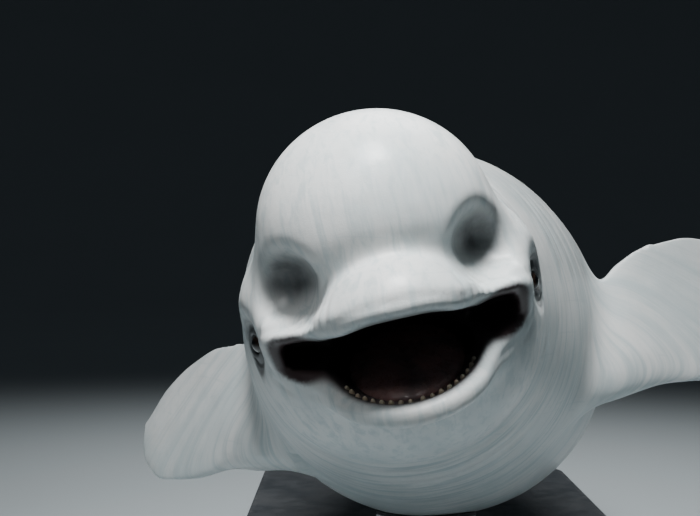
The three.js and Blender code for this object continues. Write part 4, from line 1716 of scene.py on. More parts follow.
def mesh_object(name: str, points: Points, faces: Sequence[Sequence[int]], material: Material) -> Piece:
    """A smooth mesh object at the origin.

    Args:
        name: The piece's name.
        points: Its points, in metres.
        faces: Its faces, as lists of point numbers.
        material: Its material.

    Returns:
        The object, in the scene.
    """
    mesh = bpy.data.meshes.new(name)
    mesh.from_pydata(points.tolist(), [], faces)
    mesh.materials.append(material)
    mesh.shade_smooth()
    piece = bpy.data.objects.new(name, mesh)
    bpy.context.scene.collection.objects.link(piece)
    return piece


def paint_attribute(piece: Piece, name: str, values: np.ndarray) -> None:
    """Stores a number or a vector at each of a piece's points.

    Args:
        piece: The piece.
        name: The attribute's name.
        values: One for each point.
    """
    vector = values.ndim == 2
    kind, key = ("FLOAT_VECTOR", "vector") if vector else ("FLOAT", "value")
    attribute = piece.data.attributes.new(name, kind, "POINT")
    attribute.data.foreach_set(key, values.astype(np.float32).ravel())


def give(piece: Piece, slot: str, *nodes: str) -> None:
    """Puts a piece on the body and lets it stand for nodes, whose own parts it hides.

    Args:
        piece: The piece.
        slot: Not used.
        nodes: The nodes that it stands for.
    """
    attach(piece, BODY)
    if nodes:
        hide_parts(*nodes)
    log.info("%s: %d faces", piece.name, len(piece.data.polygons))


def grid_lines(size: Curve, start: float, end: float) -> Values:
    """Places from start to end, spaced as a curve says.

    Args:
        size: The spacing at each place.
        start: The first place.
        end: The last place.

    Returns:
        The places.
    """
    lines = [start]
    while lines[-1] < end:
        lines.append(lines[-1] + float(size(lines[-1])))
    scale = (end - start) / (lines[-1] - start)
    return start + (np.array(lines) - start) * scale


@dataclass
class Whale:
    """The whale: one skin from the snout to the flukes, its eyes, teeth and tongue."""

    head_cell: float = 6.1
    head_past: float = 76.0
    seam: float = 8.0
    columns: int = 126
    closer_on_top: float = 0.35
    row_spacing: Curve = Curve((510, 6), (900, 7), (1150, 14), (2500, 21), (3480, 12))
    tail_from: float = 3480.0
    tail_cells: Triple = (9.0, 8.0, 4.8)
    tail_ends: float = 4020.0
    tail_heights: Pair = (-130.0, 140.0)
    root_cells: Triple = (10.0, 8.0, 5.5)
    root_middle: Pair = (40.0, 0.08)
    root_half_s: float = 262.0
    root_half_girth: float = 296.0
    blade_from: float = 216.0
    lobe_from: float = 104.0
    root_reach: Triple = (250.0, 350.0, 315.0)
    root_lift: float = 26.0
    root_overlap: float = 0.93
    around: int = 60
    closer_at_edges: float = 0.32
    blade_rings: int = 38
    tip_turns: Triple = (0.5, 0.95, 1.3)
    eye_window: tuple[float, float, Pair] = (48.0, 2.3, (-44.0, 48.0))
    blow_window: tuple[float, float, Pair] = (60.0, 2.8, (-30.0, 26.0))
    # Where and how strongly painted shade darkens the skin: in the hollows, round the eyes and in the
    # blowhole's slit
    hollow_shade: Ellipsoid = Ellipsoid((140, 182, 82), (62, 110, 58))
    hollow_painted_shade: Triple = (0.93, 0.22, 1.1)
    eye_shade: float = 56.0
    eye_painted_shade: Triple = (0.95, 0.5, 1.1)
    slit_painted_shade: Triple = (0.95, -0.5, 2.5)
    creases_start: Pair = (380.0, 520.0)
    creases_fade: Pair = (900.0, 1500.0)
    hoop_scales: Pair = (1.7, 62.0)
    tip_rounding: Pair = (5.0, 4.0)

    def __post_init__(self) -> None:
        """Sets out the whale's shape."""
        self.spine = Spine()
        self.trunk = Trunk()
        self.head = Head(self.trunk)
        self.flippers = [Flipper(side, self.spine, self.trunk) for side in Side]
        self.flukes = Flukes(self.trunk)
        head = self.head
        self.windows = [
            *(Window(head.with_lids(eye), eye.skin, eye.axes(), *self.eye_window) for eye in head.eyes),
            Window(head.with_blowhole(), head.blow_top, head.blow_axes(), *self.blow_window),
        ]

    def head_shell(self) -> Shell:
        """The head's net, with round openings for the windows.

        Returns:
            The open net.
        """
        lines = [
            np.arange(-270, 270 + self.head_cell, self.head_cell),
            np.arange(-26, self.head.end + self.head_past + 20, self.head_cell),
            np.arange(-290, 330, self.head_cell),
        ]
        shell = net(self.head.distance, lines)
        wanted = shell.points[:, 1] < self.head.end + self.head_past
        for window in self.windows:
            wanted &= window.off_axis(shell.points) > window.radius + 0.8 * self.head_cell
        return shell.kept(wanted)

    def root_measure(self, flipper: Flipper, points: Points) -> Values:
        """How far points on the trunk are from a flipper's root: 1 at the edge of the window round it.

        Args:
            flipper: The flipper.
            points: On the straight whale.

        Returns:
            The measure for each point.
        """
        behind, above = self.root_middle
        angle = np.arctan2(points[:, 2], points[:, 0] * flipper.side.value) - flipper.angle - above
        radius = np.hypot(points[:, 0], points[:, 2])
        girth = np.abs(np.angle(np.exp(1j * angle))) * radius
        along = points[:, 1] - flipper.s - behind
        return np.hypot(along / self.root_half_s, girth / self.root_half_girth)

    def trunk_shell(self) -> Shell:
        """The trunk's rings, with windows for the flippers' roots.

        Returns:
            The open tube.
        """
        start = self.head.end + self.head_past + self.seam
        rows = grid_lines(self.row_spacing, start, self.tail_from)
        even = full_turn(self.columns)
        angles = even + self.closer_on_top * np.cos(even)
        loops = []
        for s in rows:
            radius = self.trunk.radius(np.full_like(angles, s), angles)
            level = np.full_like(angles, s)
            loops.append(joined(radius * np.cos(angles), level, radius * np.sin(angles)))
        shell = rings(loops).looking_out(self.trunk.distance)
        wanted = np.ones(len(shell.points), bool)
        for flipper in self.flippers:
            wanted &= self.root_measure(flipper, shell.points) > 1
        return shell.kept(wanted)

    def root_shell(self, flipper: Flipper) -> Shell:
        """Where a flipper grows out of the trunk.

        Args:
            flipper: The flipper.

        Returns:
            The open net.
        """
        out_cell, along, deep = self.root_cells
        lines = [
            np.arange(-self.root_reach[0], self.blade_from + 20, out_cell),
            np.arange(-self.root_reach[1], self.root_reach[1], along),
            np.arange(-self.root_reach[2], self.root_reach[2], deep),
        ]
        shell = net(flipper.distance, lines, flipper.straight)
        out = flipper.local(shell.points)[:, 0]
        on_trunk = self.trunk.distance(shell.points) < self.root_lift
        near = self.root_measure(flipper, shell.points) < self.root_overlap
        return shell.kept(np.where(on_trunk, near, out < self.blade_from - 4))

    def blade_angles(self) -> Values:
        """Angles round a blade, closest together at its edges."""
        even = full_turn(self.around)
        return even - self.closer_at_edges * np.sin(2 * even)

    def blade_shell(self, flipper: Flipper) -> Shell:
        """A flipper's blade, out to its tip.

        Args:
            flipper: The flipper.

        Returns:
            The blade, open at its root.
        """
        around = self.blade_angles()
        start, end = self.blade_from + 2, flipper.length
        places = start + (end - start) * np.sin(np.linspace(0, math.pi / 2, self.blade_rings))
        loops = [flipper.section(out, around) for out in places]
        past = self.tip_rounding[0]
        loops += [flipper.section(end + past * math.sin(a), around, math.cos(a)) for a in self.tip_turns]
        shell = rings(loops, flipper.section(end + past, around[:1], 0.0)[0])
        return shell.looking_out(lambda points: flipper.blade(flipper.local(points)))

    def tail_shell(self) -> Shell:
        """The end of the tail stock, with the roots of the flukes.

        Returns:
            The open net.
        """
        past = self.lobe_from + 24
        across, along, deep = self.tail_cells
        lines = [
            np.arange(-past, past + across, across),
            np.arange(self.tail_from - 2 * self.seam, self.tail_ends, along),
            np.arange(*self.tail_heights, deep),
        ]
        shell = net(self.flukes.distance, lines)
        behind = shell.points[:, 1] > self.tail_from + self.seam
        return shell.kept(behind & (np.abs(shell.points[:, 0]) < self.lobe_from))

    def lobe_shell(self, side: Side) -> Shell:
        """One fluke, out to its tip.

        Args:
            side: The side.

        Returns:
            The fluke, open at its root.
        """
        around = self.blade_angles()
        start = (self.lobe_from + 6) / self.flukes.span
        places = start + (1 - start) * np.sin(np.linspace(0, math.pi / 2, self.blade_rings))
        section, past = self.flukes.section, self.tip_rounding[1]
        loops = [section(side, t, around) for t in places]
        loops += [section(side, 1, around, math.cos(a), past * math.sin(a)) for a in self.tip_turns]
        shell = rings(loops, section(side, 1, around[:1], 0.0, past)[0])
        return shell.looking_out(self.flukes.lobes)

    def skin(self) -> Piece:
        """One closed skin for all the nodes of flesh.

        Returns:
            The skin.
        """
        whole = Patchwork()
        whole.add(self.head_shell().evened(self.head.distance, 2), self.head.distance)
        for window in self.windows:
            whole.add(window.filling().evened(window.surface, 1), window.surface)
        whole.add(self.trunk_shell(), self.trunk.distance)
        for flipper in self.flippers:
            whole.add(self.root_shell(flipper).evened(flipper.distance, 3, 6), flipper.distance)
            whole.add(self.blade_shell(flipper), flipper.distance)
        whole.add(self.tail_shell().evened(self.flukes.distance, 2, 6), self.flukes.distance)
        for side in Side:
            whole.add(self.lobe_shell(side), self.flukes.distance)
        whole.sew()
        shell = Shell(whole.points, whole.faces)
        log.info("skin: %d open edges, %d loops left", len(shell.open_edges()), len(whole.loops))
        posed = Shell(self.spine.posed(whole.points), whole.faces)
        piece = posed.piece("skin", SkinFinish().material())
        self.mark(piece, whole.points)
        return piece

    def mark(self, piece: Piece, points: Points) -> None:
        """Stores where the skin gets painted shade, is creased or lines the mouth (whose lining is darkened
        partly as painted shade), and its straight places.

        Args:
            piece: The skin.
            points: Its points, on the straight whale.
        """
        u, s, z = points.T
        head = s < self.head.end
        # Where the mouth's lining is, whose dark colour is partly painted shade
        mouth = np.zeros(len(points))
        edge = 8 + 9 * smoothstep(np.abs(u[head]), 120, 160)
        mouth[head] = 1 - smoothstep(self.head.mouth(points[head]) - edge, -9, 0)
        # Painted shade round the eyes, in the hollows beside the snout and in the blowhole's slit
        painted_shade = np.zeros(len(points))
        for eye in self.head.eyes:
            across, up, out = ((points - eye.skin) @ eye.axes().T).T
            spread = np.hypot(across, up - 5) / self.eye_shade
            painted_shade = np.maximum(painted_shade, fading(spread, *self.eye_painted_shade) * (np.abs(out) < 60))
        beside = joined(np.abs(u), s, z)
        middle, radii = np.array(self.hollow_shade.middle), np.array(self.hollow_shade.radii)
        off = np.linalg.norm((beside - middle) / radii, axis=1)
        painted_shade = np.maximum(painted_shade, fading(off, *self.hollow_painted_shade))
        on_crown = (z > 100) & (np.abs(s - self.head.blow_s) < 80)
        slit = self.head.slit(points[on_crown], self.head.blow_axes(), self.head.blow_middle())[1]
        painted_shade[on_crown] = np.maximum(painted_shade[on_crown], fading(slit, *self.slit_painted_shade))
        girth = np.hypot(u, z) + 1e-6
        creased = smoothstep(s, *self.creases_start) * (1 - 0.5 * smoothstep(s, *self.creases_fade))
        across, along = self.hoop_scales
        hoop = joined(across * u / girth, s * MM * along, across * z / girth)
        marks = {"mouth": mouth, "painted_shade": painted_shade, "creased": creased, "hoop": hoop, "straight": points * MM}
        for name, values in marks.items():
            paint_attribute(piece, name, values)

    def eye(self, place: EyePlace) -> Piece:
        """One eyeball, with a clear bulge over its iris.

        Args:
            place: The eye's place.

        Returns:
            The eyeball.
        """
        rows, around = 40, 64
        down = np.linspace(0, math.pi, rows)
        turn = full_turn(around)
        head = self.head
        bulge = head.iris_bulge * hump(np.degrees(down), head.iris_angle)
        radius = (head.eye_radius - head.ball_gap + bulge)[:, None] * np.ones(around)
        axes = place.axes()
        loops = []
        for row in range(1, rows - 1):
            side = math.sin(down[row]) * radius[row]
            local = joined(side * np.cos(turn), side * np.sin(turn), math.cos(down[row]) * radius[row])
            loops.append(place.ball + local @ axes)
        tube = rings(loops, place.ball - axes[2] * radius[-1, 0])
        front = len(tube.points)
        points = np.vstack((tube.points, place.ball + axes[2] * radius[0, 0]))
        cap = [(front, (i + 1) % around, i, i) for i in range(around)]
        faces = np.vstack((tube.faces, np.array(cap)))
        shell = Shell(points, faces).looking_out(lambda at: np.linalg.norm(at - place.ball, axis=1))
        name = f"eye_{place.side.name.lower()}_ball"
        piece = Shell(self.spine.posed(points), shell.faces).piece(name, EyeFinish().material())
        off = np.degrees(np.arccos(np.clip(unit(points - place.ball) @ axes[2], -1, 1)))
        paint_attribute(piece, "rim", off / 60)
        return piece

    def underside(self, x: Values, y: Values, s: float) -> Values:
        """The belly's height over places on the floor, found from below.

        Args:
            x: The places' x.
            y: The places' y.
            s: A place on the spine above them.

        Returns:
            The height at each place.
        """
        spine_height = float(self.spine.point(np.array([s]))[0, 2])
        z = np.full_like(x, spine_height - float(self.trunk.bottom(s)) - 30)
        for _ in range(14):
            z += 0.9 * self.trunk.distance(self.spine.straight(joined(x, y, z), s))
        return z


class Nodes:
    """A geometry node tree whose result ends as realized instances of one material."""

    def __init__(self, name: str, material: Material) -> None:
        """Starts a tree with a way in and a way out.

        Args:
            name: The tree's name.
            material: The material that all of its result gets.
        """
        self.tree = bpy.data.node_groups.new(name, "GeometryNodeTree")
        self.tree.interface.new_socket("Geometry", in_out="INPUT", socket_type="NodeSocketGeometry")
        self.tree.interface.new_socket("Geometry", in_out="OUTPUT", socket_type="NodeSocketGeometry")
        self.start = self.tree.nodes.new("NodeGroupInput")
        self.end = self.tree.nodes.new("NodeGroupOutput")
        self.material = material
        self.values: dict[str, float | int] = {}

    def input(self, name: str, value: float | int) -> Socket:
        """A named input, and the value that it is given.

        Args:
            name: The input's name.
            value: The value.

        Returns:
            The input's socket.
        """
        kind = "NodeSocketInt" if isinstance(value, int) else "NodeSocketFloat"
        socket = self.tree.interface.new_socket(name, in_out="INPUT", socket_type=kind)
        self.values[socket.identifier] = value
        return self.start.outputs[name]

    def add(self, kind: str, inputs: dict[str | int, object] | None = None, **settings: object) -> Node:
        """Adds a node, with its settings and with inputs that are values or sockets.

        Args:
            kind: The node's type.
            inputs: A value or socket for each input.
            settings: Its settings.

        Returns:
            The node.
        """
        node = self.tree.nodes.new(kind)
        for name, value in settings.items():
            setattr(node, name, value)
        for key, value in (inputs or {}).items():
            if isinstance(value, Socket):
                self.tree.links.new(value, node.inputs[key])
            else:
                node.inputs[key].default_value = value
        return node

    def maths(self, operation: str, *values: object) -> Socket:
        """A sum of values or sockets."""
        return self.add("ShaderNodeMath", dict(enumerate(values)), operation=operation).outputs[0]

    def vectors(self, operation: str, start: Node, inputs: dict[str | int, Socket]) -> Node:
        """A sum of vectors."""
        return self.add("ShaderNodeVectorMath", {0: start.outputs[0], **inputs}, operation=operation)

    def lifted(self, shape: Node, height: Socket) -> Socket:
        """A shape, moved up.

        Args:
            shape: The shape's node.
            height: How far up.

        Returns:
            The moved shape.
        """
        up = self.add("ShaderNodeCombineXYZ", {2: height})
        inputs = {"Geometry": shape.outputs[0], "Translation": up.outputs[0]}
        return self.add("GeometryNodeTransform", inputs).outputs[0]

    def finish(self, instances: Socket, piece: Piece) -> Piece:
        """Runs the tree on a piece and keeps the result as the piece's own mesh.

        Args:
            instances: The tree's last geometry.
            piece: The object that carries the tree's start.

        Returns:
            The same object, with its new mesh.
        """
        real = self.add("GeometryNodeRealizeInstances", {0: instances})
        smooth = self.add("GeometryNodeSetShadeSmooth", {0: real.outputs[0]})
        dressed = self.add("GeometryNodeSetMaterial", {0: smooth.outputs[0], "Material": self.material})
        self.tree.links.new(dressed.outputs[0], self.end.inputs[0])
        modifier = piece.modifiers.new("made", "NODES")
        modifier.node_group = self.tree
        for identifier, value in self.values.items():
            modifier[identifier] = value
        bpy.context.view_layer.update()
        evaluated = piece.evaluated_get(bpy.context.evaluated_depsgraph_get())
        made = bpy.data.meshes.new_from_object(evaluated)
        piece.modifiers.clear()
        piece.data = made
        return piece


def shaded(piece: Piece, degrees: float = 32.0) -> Piece:
    """Keeps the edges sharp that turn by more than an angle."""
    piece.data.set_sharp_from_angle(angle=math.radians(degrees))
    return piece


@dataclass(frozen=True)
class Teeth:
    """Blunt pegs in an arc inside each lip."""

    per_side: int = 9
    arc: Pair = (5.0, 68.0)
    insets: Pair = (46.0, 33.0)
    radius: float = 4.2
    height: float = 6.5
    sunk: float = 9.0
    blunt: float = 2.6
    uneven: float = 0.16
    starts: Pair = (-37.0, 0.0)

    def gum(self, head: Head, upper: bool) -> tuple[Points, Points]:
        """Where one jaw's teeth stand on the gum of the straight head, and which way they grow.

        Args:
            head: The head.
            upper: Whether they are the upper jaw's.

        Returns:
            The places and the directions.
        """
        jaw = head.upper_jaw if upper else head.lower_jaw
        grows = -1.0 if upper else 1.0
        inset = self.insets[0] if upper else self.insets[1]
        angles = np.radians(np.linspace(*self.arc, self.per_side))
        places, growths = [], []
        for side in Side:
            for angle in angles:
                u = side.value * (jaw.radii[0] - inset) * math.sin(angle)
                s = jaw.middle[1] - (jaw.radii[1] - inset) * math.cos(angle)
                start = np.array([[u, s, self.starts[0] if upper else self.starts[1]]])
                ahead = start + np.array([[0, 0, grows]])
                if not upper:
                    start, ahead = head.opened(start), head.opened(ahead)
                growth = (ahead - start)[0]
                places.append(head.march(head.distance, start[0], -growth, 1.0))
                growths.append(growth)
        return np.array(places), np.array(growths)

    def build(self, whale: Whale, upper: bool) -> Piece:
        """One jaw's teeth, as nodes that stand a blunt peg at each place on the gum.

        Args:
            whale: The whale.
            upper: Whether they are the upper jaw's.

        Returns:
            The teeth.
        """
        places, growths = self.gum(whale.head, upper)
        name = "teeth_upper" if upper else "teeth_lower"
        ivory = ToothFinish().material()
        piece = mesh_object(name, whale.spine.posed(places) * MM, [], ivory)
        turned = whale.spine.posed(places + growths) - whale.spine.posed(places)
        paint_attribute(piece, "growth", turned)
        nodes = Nodes(name, ivory)
        radius = nodes.input("Radius", self.radius * MM)
        height = nodes.input("Height", (self.height + self.sunk) / 2 * MM)
        lift = nodes.input("Lift", (self.height - self.sunk) / 2 * MM)
        blunt = nodes.input("Bluntness", self.blunt)
        uneven = nodes.input("Unevenness", self.uneven)
        seed = nodes.input("Seed", 7 if upper else 12)
        ball = nodes.add("GeometryNodeMeshUVSphere", {"Segments": 18, "Rings": 12, "Radius": 1.0})
        spot = nodes.add("GeometryNodeInputPosition")
        axes = nodes.add("ShaderNodeSeparateXYZ", {0: spot.outputs[0]})
        across = nodes.maths("SQRT", nodes.maths(
            "ADD", nodes.maths("POWER", axes.outputs[0], 2.0), nodes.maths("POWER", axes.outputs[1], 2.0)
        ))
        upright = nodes.maths("ABSOLUTE", axes.outputs[2])
        norm = nodes.maths("POWER", nodes.maths(
            "ADD", nodes.maths("POWER", across, blunt), nodes.maths("POWER", upright, blunt)
        ), nodes.maths("DIVIDE", -1.0, blunt))
        sizes = nodes.add("ShaderNodeCombineXYZ", {0: radius, 1: radius, 2: height})
        lifted = nodes.add("ShaderNodeCombineXYZ", {2: lift})
        squared = nodes.vectors("SCALE", spot, {"Scale": norm})
        sized = nodes.vectors("MULTIPLY", squared, {1: sizes.outputs[0]})
        placed = nodes.vectors("ADD", sized, {1: lifted.outputs[0]})
        peg = nodes.add("GeometryNodeSetPosition", {0: ball.outputs["Mesh"], "Position": placed.outputs[0]})
        growth = nodes.add("GeometryNodeInputNamedAttribute", {"Name": "growth"}, data_type="FLOAT_VECTOR")
        turn = nodes.add("FunctionNodeAlignRotationToVector", {"Vector": growth.outputs[0]}, axis="Z")
        low = nodes.maths("SUBTRACT", 1.0, uneven)
        size = nodes.add("FunctionNodeRandomValue", {2: low, 3: 1.0, "Seed": seed}, data_type="FLOAT")
        pegs = nodes.add("GeometryNodeInstanceOnPoints", {
            "Points": nodes.start.outputs["Geometry"], "Instance": peg.outputs[0],
            "Rotation": turn.outputs[0], "Scale": size.outputs[1],
        })
        return nodes.finish(pegs.outputs[0], piece)


@dataclass(frozen=True)
class Tongue:
    """A thick tongue that lies in the lower jaw, with a shallow groove along it."""

    middle: Triple = (0.0, 168.0, -58.0)
    radii: Triple = (86.0, 106.0, 22.0)
    groove: float = 5.0
    groove_width: float = 12.0
    scallop: float = 1.2
    scallops: int = 26
    edge_half: float = 9.0
    cell: float = 4.0

    def build(self, whale: Whale) -> Piece:
        """The tongue, in the open jaw.

        Args:
            whale: The whale.

        Returns:
            The tongue.
        """
        form = Ellipsoid(self.middle, self.radii)

        def surface(points: Points) -> Values:
            """The shut tongue, with its groove and its scalloped edge: about the distance outside it.

            Args:
                points: On the straight whale.

            Returns:
                The distance, negative inside.
            """
            above = smoothstep(points[:, 2], self.middle[2] - 4, self.middle[2] + 16)
            along = hump(points[:, 1] - self.middle[1], self.radii[1])
            groove = self.groove * above * along * hump(points[:, 0], self.groove_width)
            edge = self.scallop * hump(points[:, 2] - self.middle[2], self.edge_half)
            turn = np.arctan2(points[:, 0], points[:, 1] - self.middle[1])
            return form.distance(points) + groove + edge * (0.5 + 0.5 * np.cos(self.scallops * turn))

        lines = [
            np.arange(m - r - 2 * self.cell, m + r + 3 * self.cell, self.cell)
            for m, r in zip(self.middle, self.radii)
        ]
        shell = net(surface, lines).evened(surface, 1.5)
        posed = whale.spine.posed(whale.head.opened(shell.points))
        return Shell(posed, shell.faces).piece("tongue_flesh", TongueFinish().material())


@dataclass(frozen=True)
class Stand:
    """A flat painted board, and two steel rods in bolted collars that carry the whale on padded saddles."""

    length: float = 1900.0
    width: float = 1040.0
    thick: float = 36.0
    corner: float = 90.0
    rounding: float = 8.0
    gap: float = 0.35
    rod_radius: float = 32.0
    rod_places: Pair = (1150.0, 2260.0)
    saddle: float = 110.0
    saddle_deep: float = 90.0
    pad: float = 9.0
    collar_radius: float = 92.0
    collar_thick: float = 18.0
    neck_radius: float = 46.0
    neck_height: float = 52.0
    chamfer: float = 2.5
    bolts: int = 4
    bolt_circle: float = 72.0
    bolt_radius: float = 9.0
    bolt_head: float = 8.0
    washer: float = 2.0
    washer_share: float = 1.22
    crown_shares: Triple = (0.62, 0.84, 0.16)
    sides: int = 72

    def turned(self, name: str, foot: Points, outline: Sequence[Pair], material: Material) -> Piece:
        """A turned piece from a closed outline.

        Args:
            name: The piece's name.
            foot: Where its axis meets the board.
            outline: Radius and height pairs, all off the axis, in order round the outline.
            material: Its material.

        Returns:
            The piece.
        """
        turn = full_turn(self.sides)
        loops = [circle(r, h, turn, foot) for r, h in (*outline, outline[0])]
        return shaded(rings(loops).piece(name, material))

    def board(self) -> Piece:
        """The board, with rounded corners and edges.

        Returns:
            The board.
        """
        corner_turn = np.linspace(0, math.pi / 2, 17)
        loops, edges = [], []

        def outline(inset: float, z: float, edge: float) -> None:
            """Adds a ring round the board.

            Args:
                inset: How far in from the board's sides.
                z: Its height.
                edge: 1 where the paint is rubbed, and 0 elsewhere.
            """
            radius = self.corner - inset
            half = np.array([self.width / 2 - self.corner, self.length / 2 - self.corner])
            points = []
            for quarter, signs in enumerate(((1, 1), (-1, 1), (-1, -1), (1, -1))):
                turn = corner_turn + quarter * math.pi / 2
                points.append(circle(radius, z, turn, (*(half * np.array(signs)), 0.0)))
            loops.append(np.concatenate(points))
            edges.append(np.full(len(loops[-1]), edge))

        r = self.rounding
        outline(r + 14, 0, 0)
        outline(r, 0, 1)
        for a in np.linspace(0, math.pi / 2, 6)[1:]:
            outline(r * (1 - math.sin(a)), r * (1 - math.cos(a)), 1)
        for a in np.linspace(0, math.pi / 2, 6):
            outline(r * (1 - math.cos(a)), self.thick - r * (1 - math.sin(a)), 1)
        outline(r + 14, self.thick, 0)
        shell = rings(loops)
        around, last = len(loops[0]), len(loops) - 1
        caps = [list(range(around))[::-1], [last * around + i for i in range(around)]]
        piece = mesh_object("board", shell.points * MM, shell.faces.tolist() + caps, PaintFinish().material())
        paint_attribute(piece, "edge", np.concatenate(edges))
        return piece

    def foot(self, whale: Whale, s: float) -> Points:
        """Where a rod's axis meets the board."""
        x, y, _ = whale.spine.point(np.array([s]))[0]
        return np.array([x, y, self.thick + self.gap])

    def rod(self, name: str, whale: Whale, s: float) -> tuple[Piece, Piece]:
        """A rod whose head flares into a saddle, and the pad between the saddle and the belly.

        Args:
            name: The name of its end of the stand.
            whale: The whale.
            s: Its place along the spine.

        Returns:
            The rod and its pad.
        """
        foot = self.foot(whale, s)
        spine_z = float(whale.spine.point(np.array([s]))[0, 2])
        under = spine_z - float(whale.trunk.bottom(s)) * 0.98
        flare = under - self.saddle_deep
        turn = full_turn(self.sides)

        def cradle(radius: float, below: float) -> Points:
            """A ring that lies so far under the belly.

            Args:
                radius: The ring's radius.
                below: How far under the belly.

            Returns:
                Its points.
            """
            points = circle(radius, 0, turn, (foot[0], foot[1], 0))
            points[:, 2] = whale.underside(points[:, 0], points[:, 1], s) - below
            return points

        loops = [circle(radius, 0, turn, foot) for radius in (4, self.rod_radius)]
        for t in np.linspace(0, 1, 12):
            wide = self.rod_radius + (self.saddle - self.rod_radius) * t**2
            height = flare + self.saddle_deep * 0.7 * (1 - (1 - t) ** 1.6) - foot[2]
            loops.append(circle(wide, height, turn, foot))
        loops += [cradle(self.saddle, self.pad + 2), cradle(self.saddle - 2, self.pad)]
        across = np.linspace(self.saddle - 8, 6, 12)
        loops += [cradle(r, self.pad) for r in across]
        rod = shaded(rings(loops).piece(f"rod_{name}", SteelFinish().material()))
        edge = [
            cradle(self.saddle - 3 + 3 * math.sin(a), self.pad * (0.5 + 0.46 * math.cos(a)))
            for a in np.linspace(0, math.pi, 8)
        ]
        inner = [cradle(r, 0.4) for r in across]
        outer = [cradle(r, self.pad - 0.2) for r in across[::-1]]
        return rod, rings(outer + edge + inner).piece(f"pad_{name}", PadFinish().material())

    def collar(self, name: str, whale: Whale, s: float) -> Piece:
        """A flanged collar round a rod's foot.

        Args:
            name: The name of its end of the stand.
            whale: The whale.
            s: The rod's place along the spine.

        Returns:
            The collar.
        """
        c, thick, neck, high = self.chamfer, self.collar_thick, self.neck_radius, self.neck_height
        bore = self.rod_radius + self.gap
        bends = np.linspace(0, math.pi / 2, 6)
        fillet = [(neck + 5 * (1 - math.sin(a)), thick + 5 * (1 - math.cos(a))) for a in bends]
        rim = self.collar_radius
        outline = [
            (bore, 0), (rim - 1, 0), (rim, 1), (rim, thick - c), (rim - c, thick), *fillet,
            (neck, high - c), (neck - c, high), (bore + 1, high), (bore, high - 1),
        ]
        steel = SteelFinish("steel_turned", (160.0, 160.0, 160.0)).material()
        return self.turned(f"collar_{name}", self.foot(whale, s), outline, steel)

    def bolt_ring(self, name: str, whale: Whale, s: float) -> Piece:
        """The collar's bolts with their washers, as nodes that set them round a circle.

        Args:
            name: The name of its end of the stand.
            whale: The whale.
            s: The rod's place along the spine.

        Returns:
            The bolts.
        """
        foot = self.foot(whale, s) * MM
        steel = SteelFinish("steel_bolt", (300.0, 300.0, 300.0)).material()
        piece = mesh_object(f"bolts_{name}", np.zeros((1, 3)), [], steel)
        nodes = Nodes(f"bolts_{name}", steel)
        count = nodes.input("Bolts", self.bolts)
        reach = nodes.input("Circle", self.bolt_circle * MM)
        radius = nodes.input("Radius", self.bolt_radius * MM)
        head = nodes.input("Head", (self.bolt_head - self.washer) * MM)
        washer = nodes.input("Washer", self.washer * MM)
        seed = nodes.input("Seed", 3)
        ring = nodes.add("GeometryNodeMeshCircle", {"Vertices": count, "Radius": reach})
        eighth = nodes.add("ShaderNodeCombineXYZ", {2: nodes.maths("DIVIDE", math.pi, count)})
        turned = nodes.add("GeometryNodeTransform", {
            "Geometry": ring.outputs[0], "Rotation": eighth.outputs[0],
            "Translation": (foot[0], foot[1], foot[2] + self.collar_thick * MM),
        })
        wide = nodes.maths("MULTIPLY", radius, self.washer_share)
        disc = nodes.add("GeometryNodeMeshCylinder", {"Vertices": 40, "Radius": wide, "Depth": washer})
        hexagon = nodes.add("GeometryNodeMeshCylinder", {"Vertices": 6, "Radius": radius, "Depth": head})
        top, bottom, depth = (
            nodes.maths("MULTIPLY", whole, share)
            for whole, share in zip((radius, radius, head), self.crown_shares)
        )
        crown = nodes.add("GeometryNodeMeshCone", {
            "Vertices": 40, "Radius Top": top, "Radius Bottom": bottom, "Depth": depth,
        })
        bolt = nodes.add("GeometryNodeJoinGeometry")
        for shape, height in (
            (disc, nodes.maths("MULTIPLY", washer, 0.5)),
            (hexagon, nodes.maths("ADD", washer, nodes.maths("MULTIPLY", head, 0.5))),
            (crown, nodes.maths("ADD", washer, head)),
        ):
            nodes.tree.links.new(nodes.lifted(shape, height), bolt.inputs[0])
        spin = nodes.add("FunctionNodeRandomValue", {2: 0.0, 3: math.pi / 3, "Seed": seed}, data_type="FLOAT")
        spun = nodes.add("ShaderNodeCombineXYZ", {2: spin.outputs[1]})
        bolts = nodes.add("GeometryNodeInstanceOnPoints", {
            "Points": turned.outputs[0], "Instance": bolt.outputs[0], "Rotation": spun.outputs[0],
        })
        return shaded(nodes.finish(bolts.outputs[0], piece))

    def build(self, whale: Whale) -> None:
        """The whole stand.

        Args:
            whale: The whale that it carries.
        """
        give(self.board(), "stand_base", "stand_base")
        for name, s in zip(("front", "rear"), self.rod_places):
            rod, pad = self.rod(name, whale, s)
            give(rod, "stand_steel", f"stand_rod_{name}")
            give(pad, "stand_base")
            give(self.collar(name, whale, s), "stand_steel", f"stand_collar_{name}")
            give(self.bolt_ring(name, whale, s), "stand_steel")


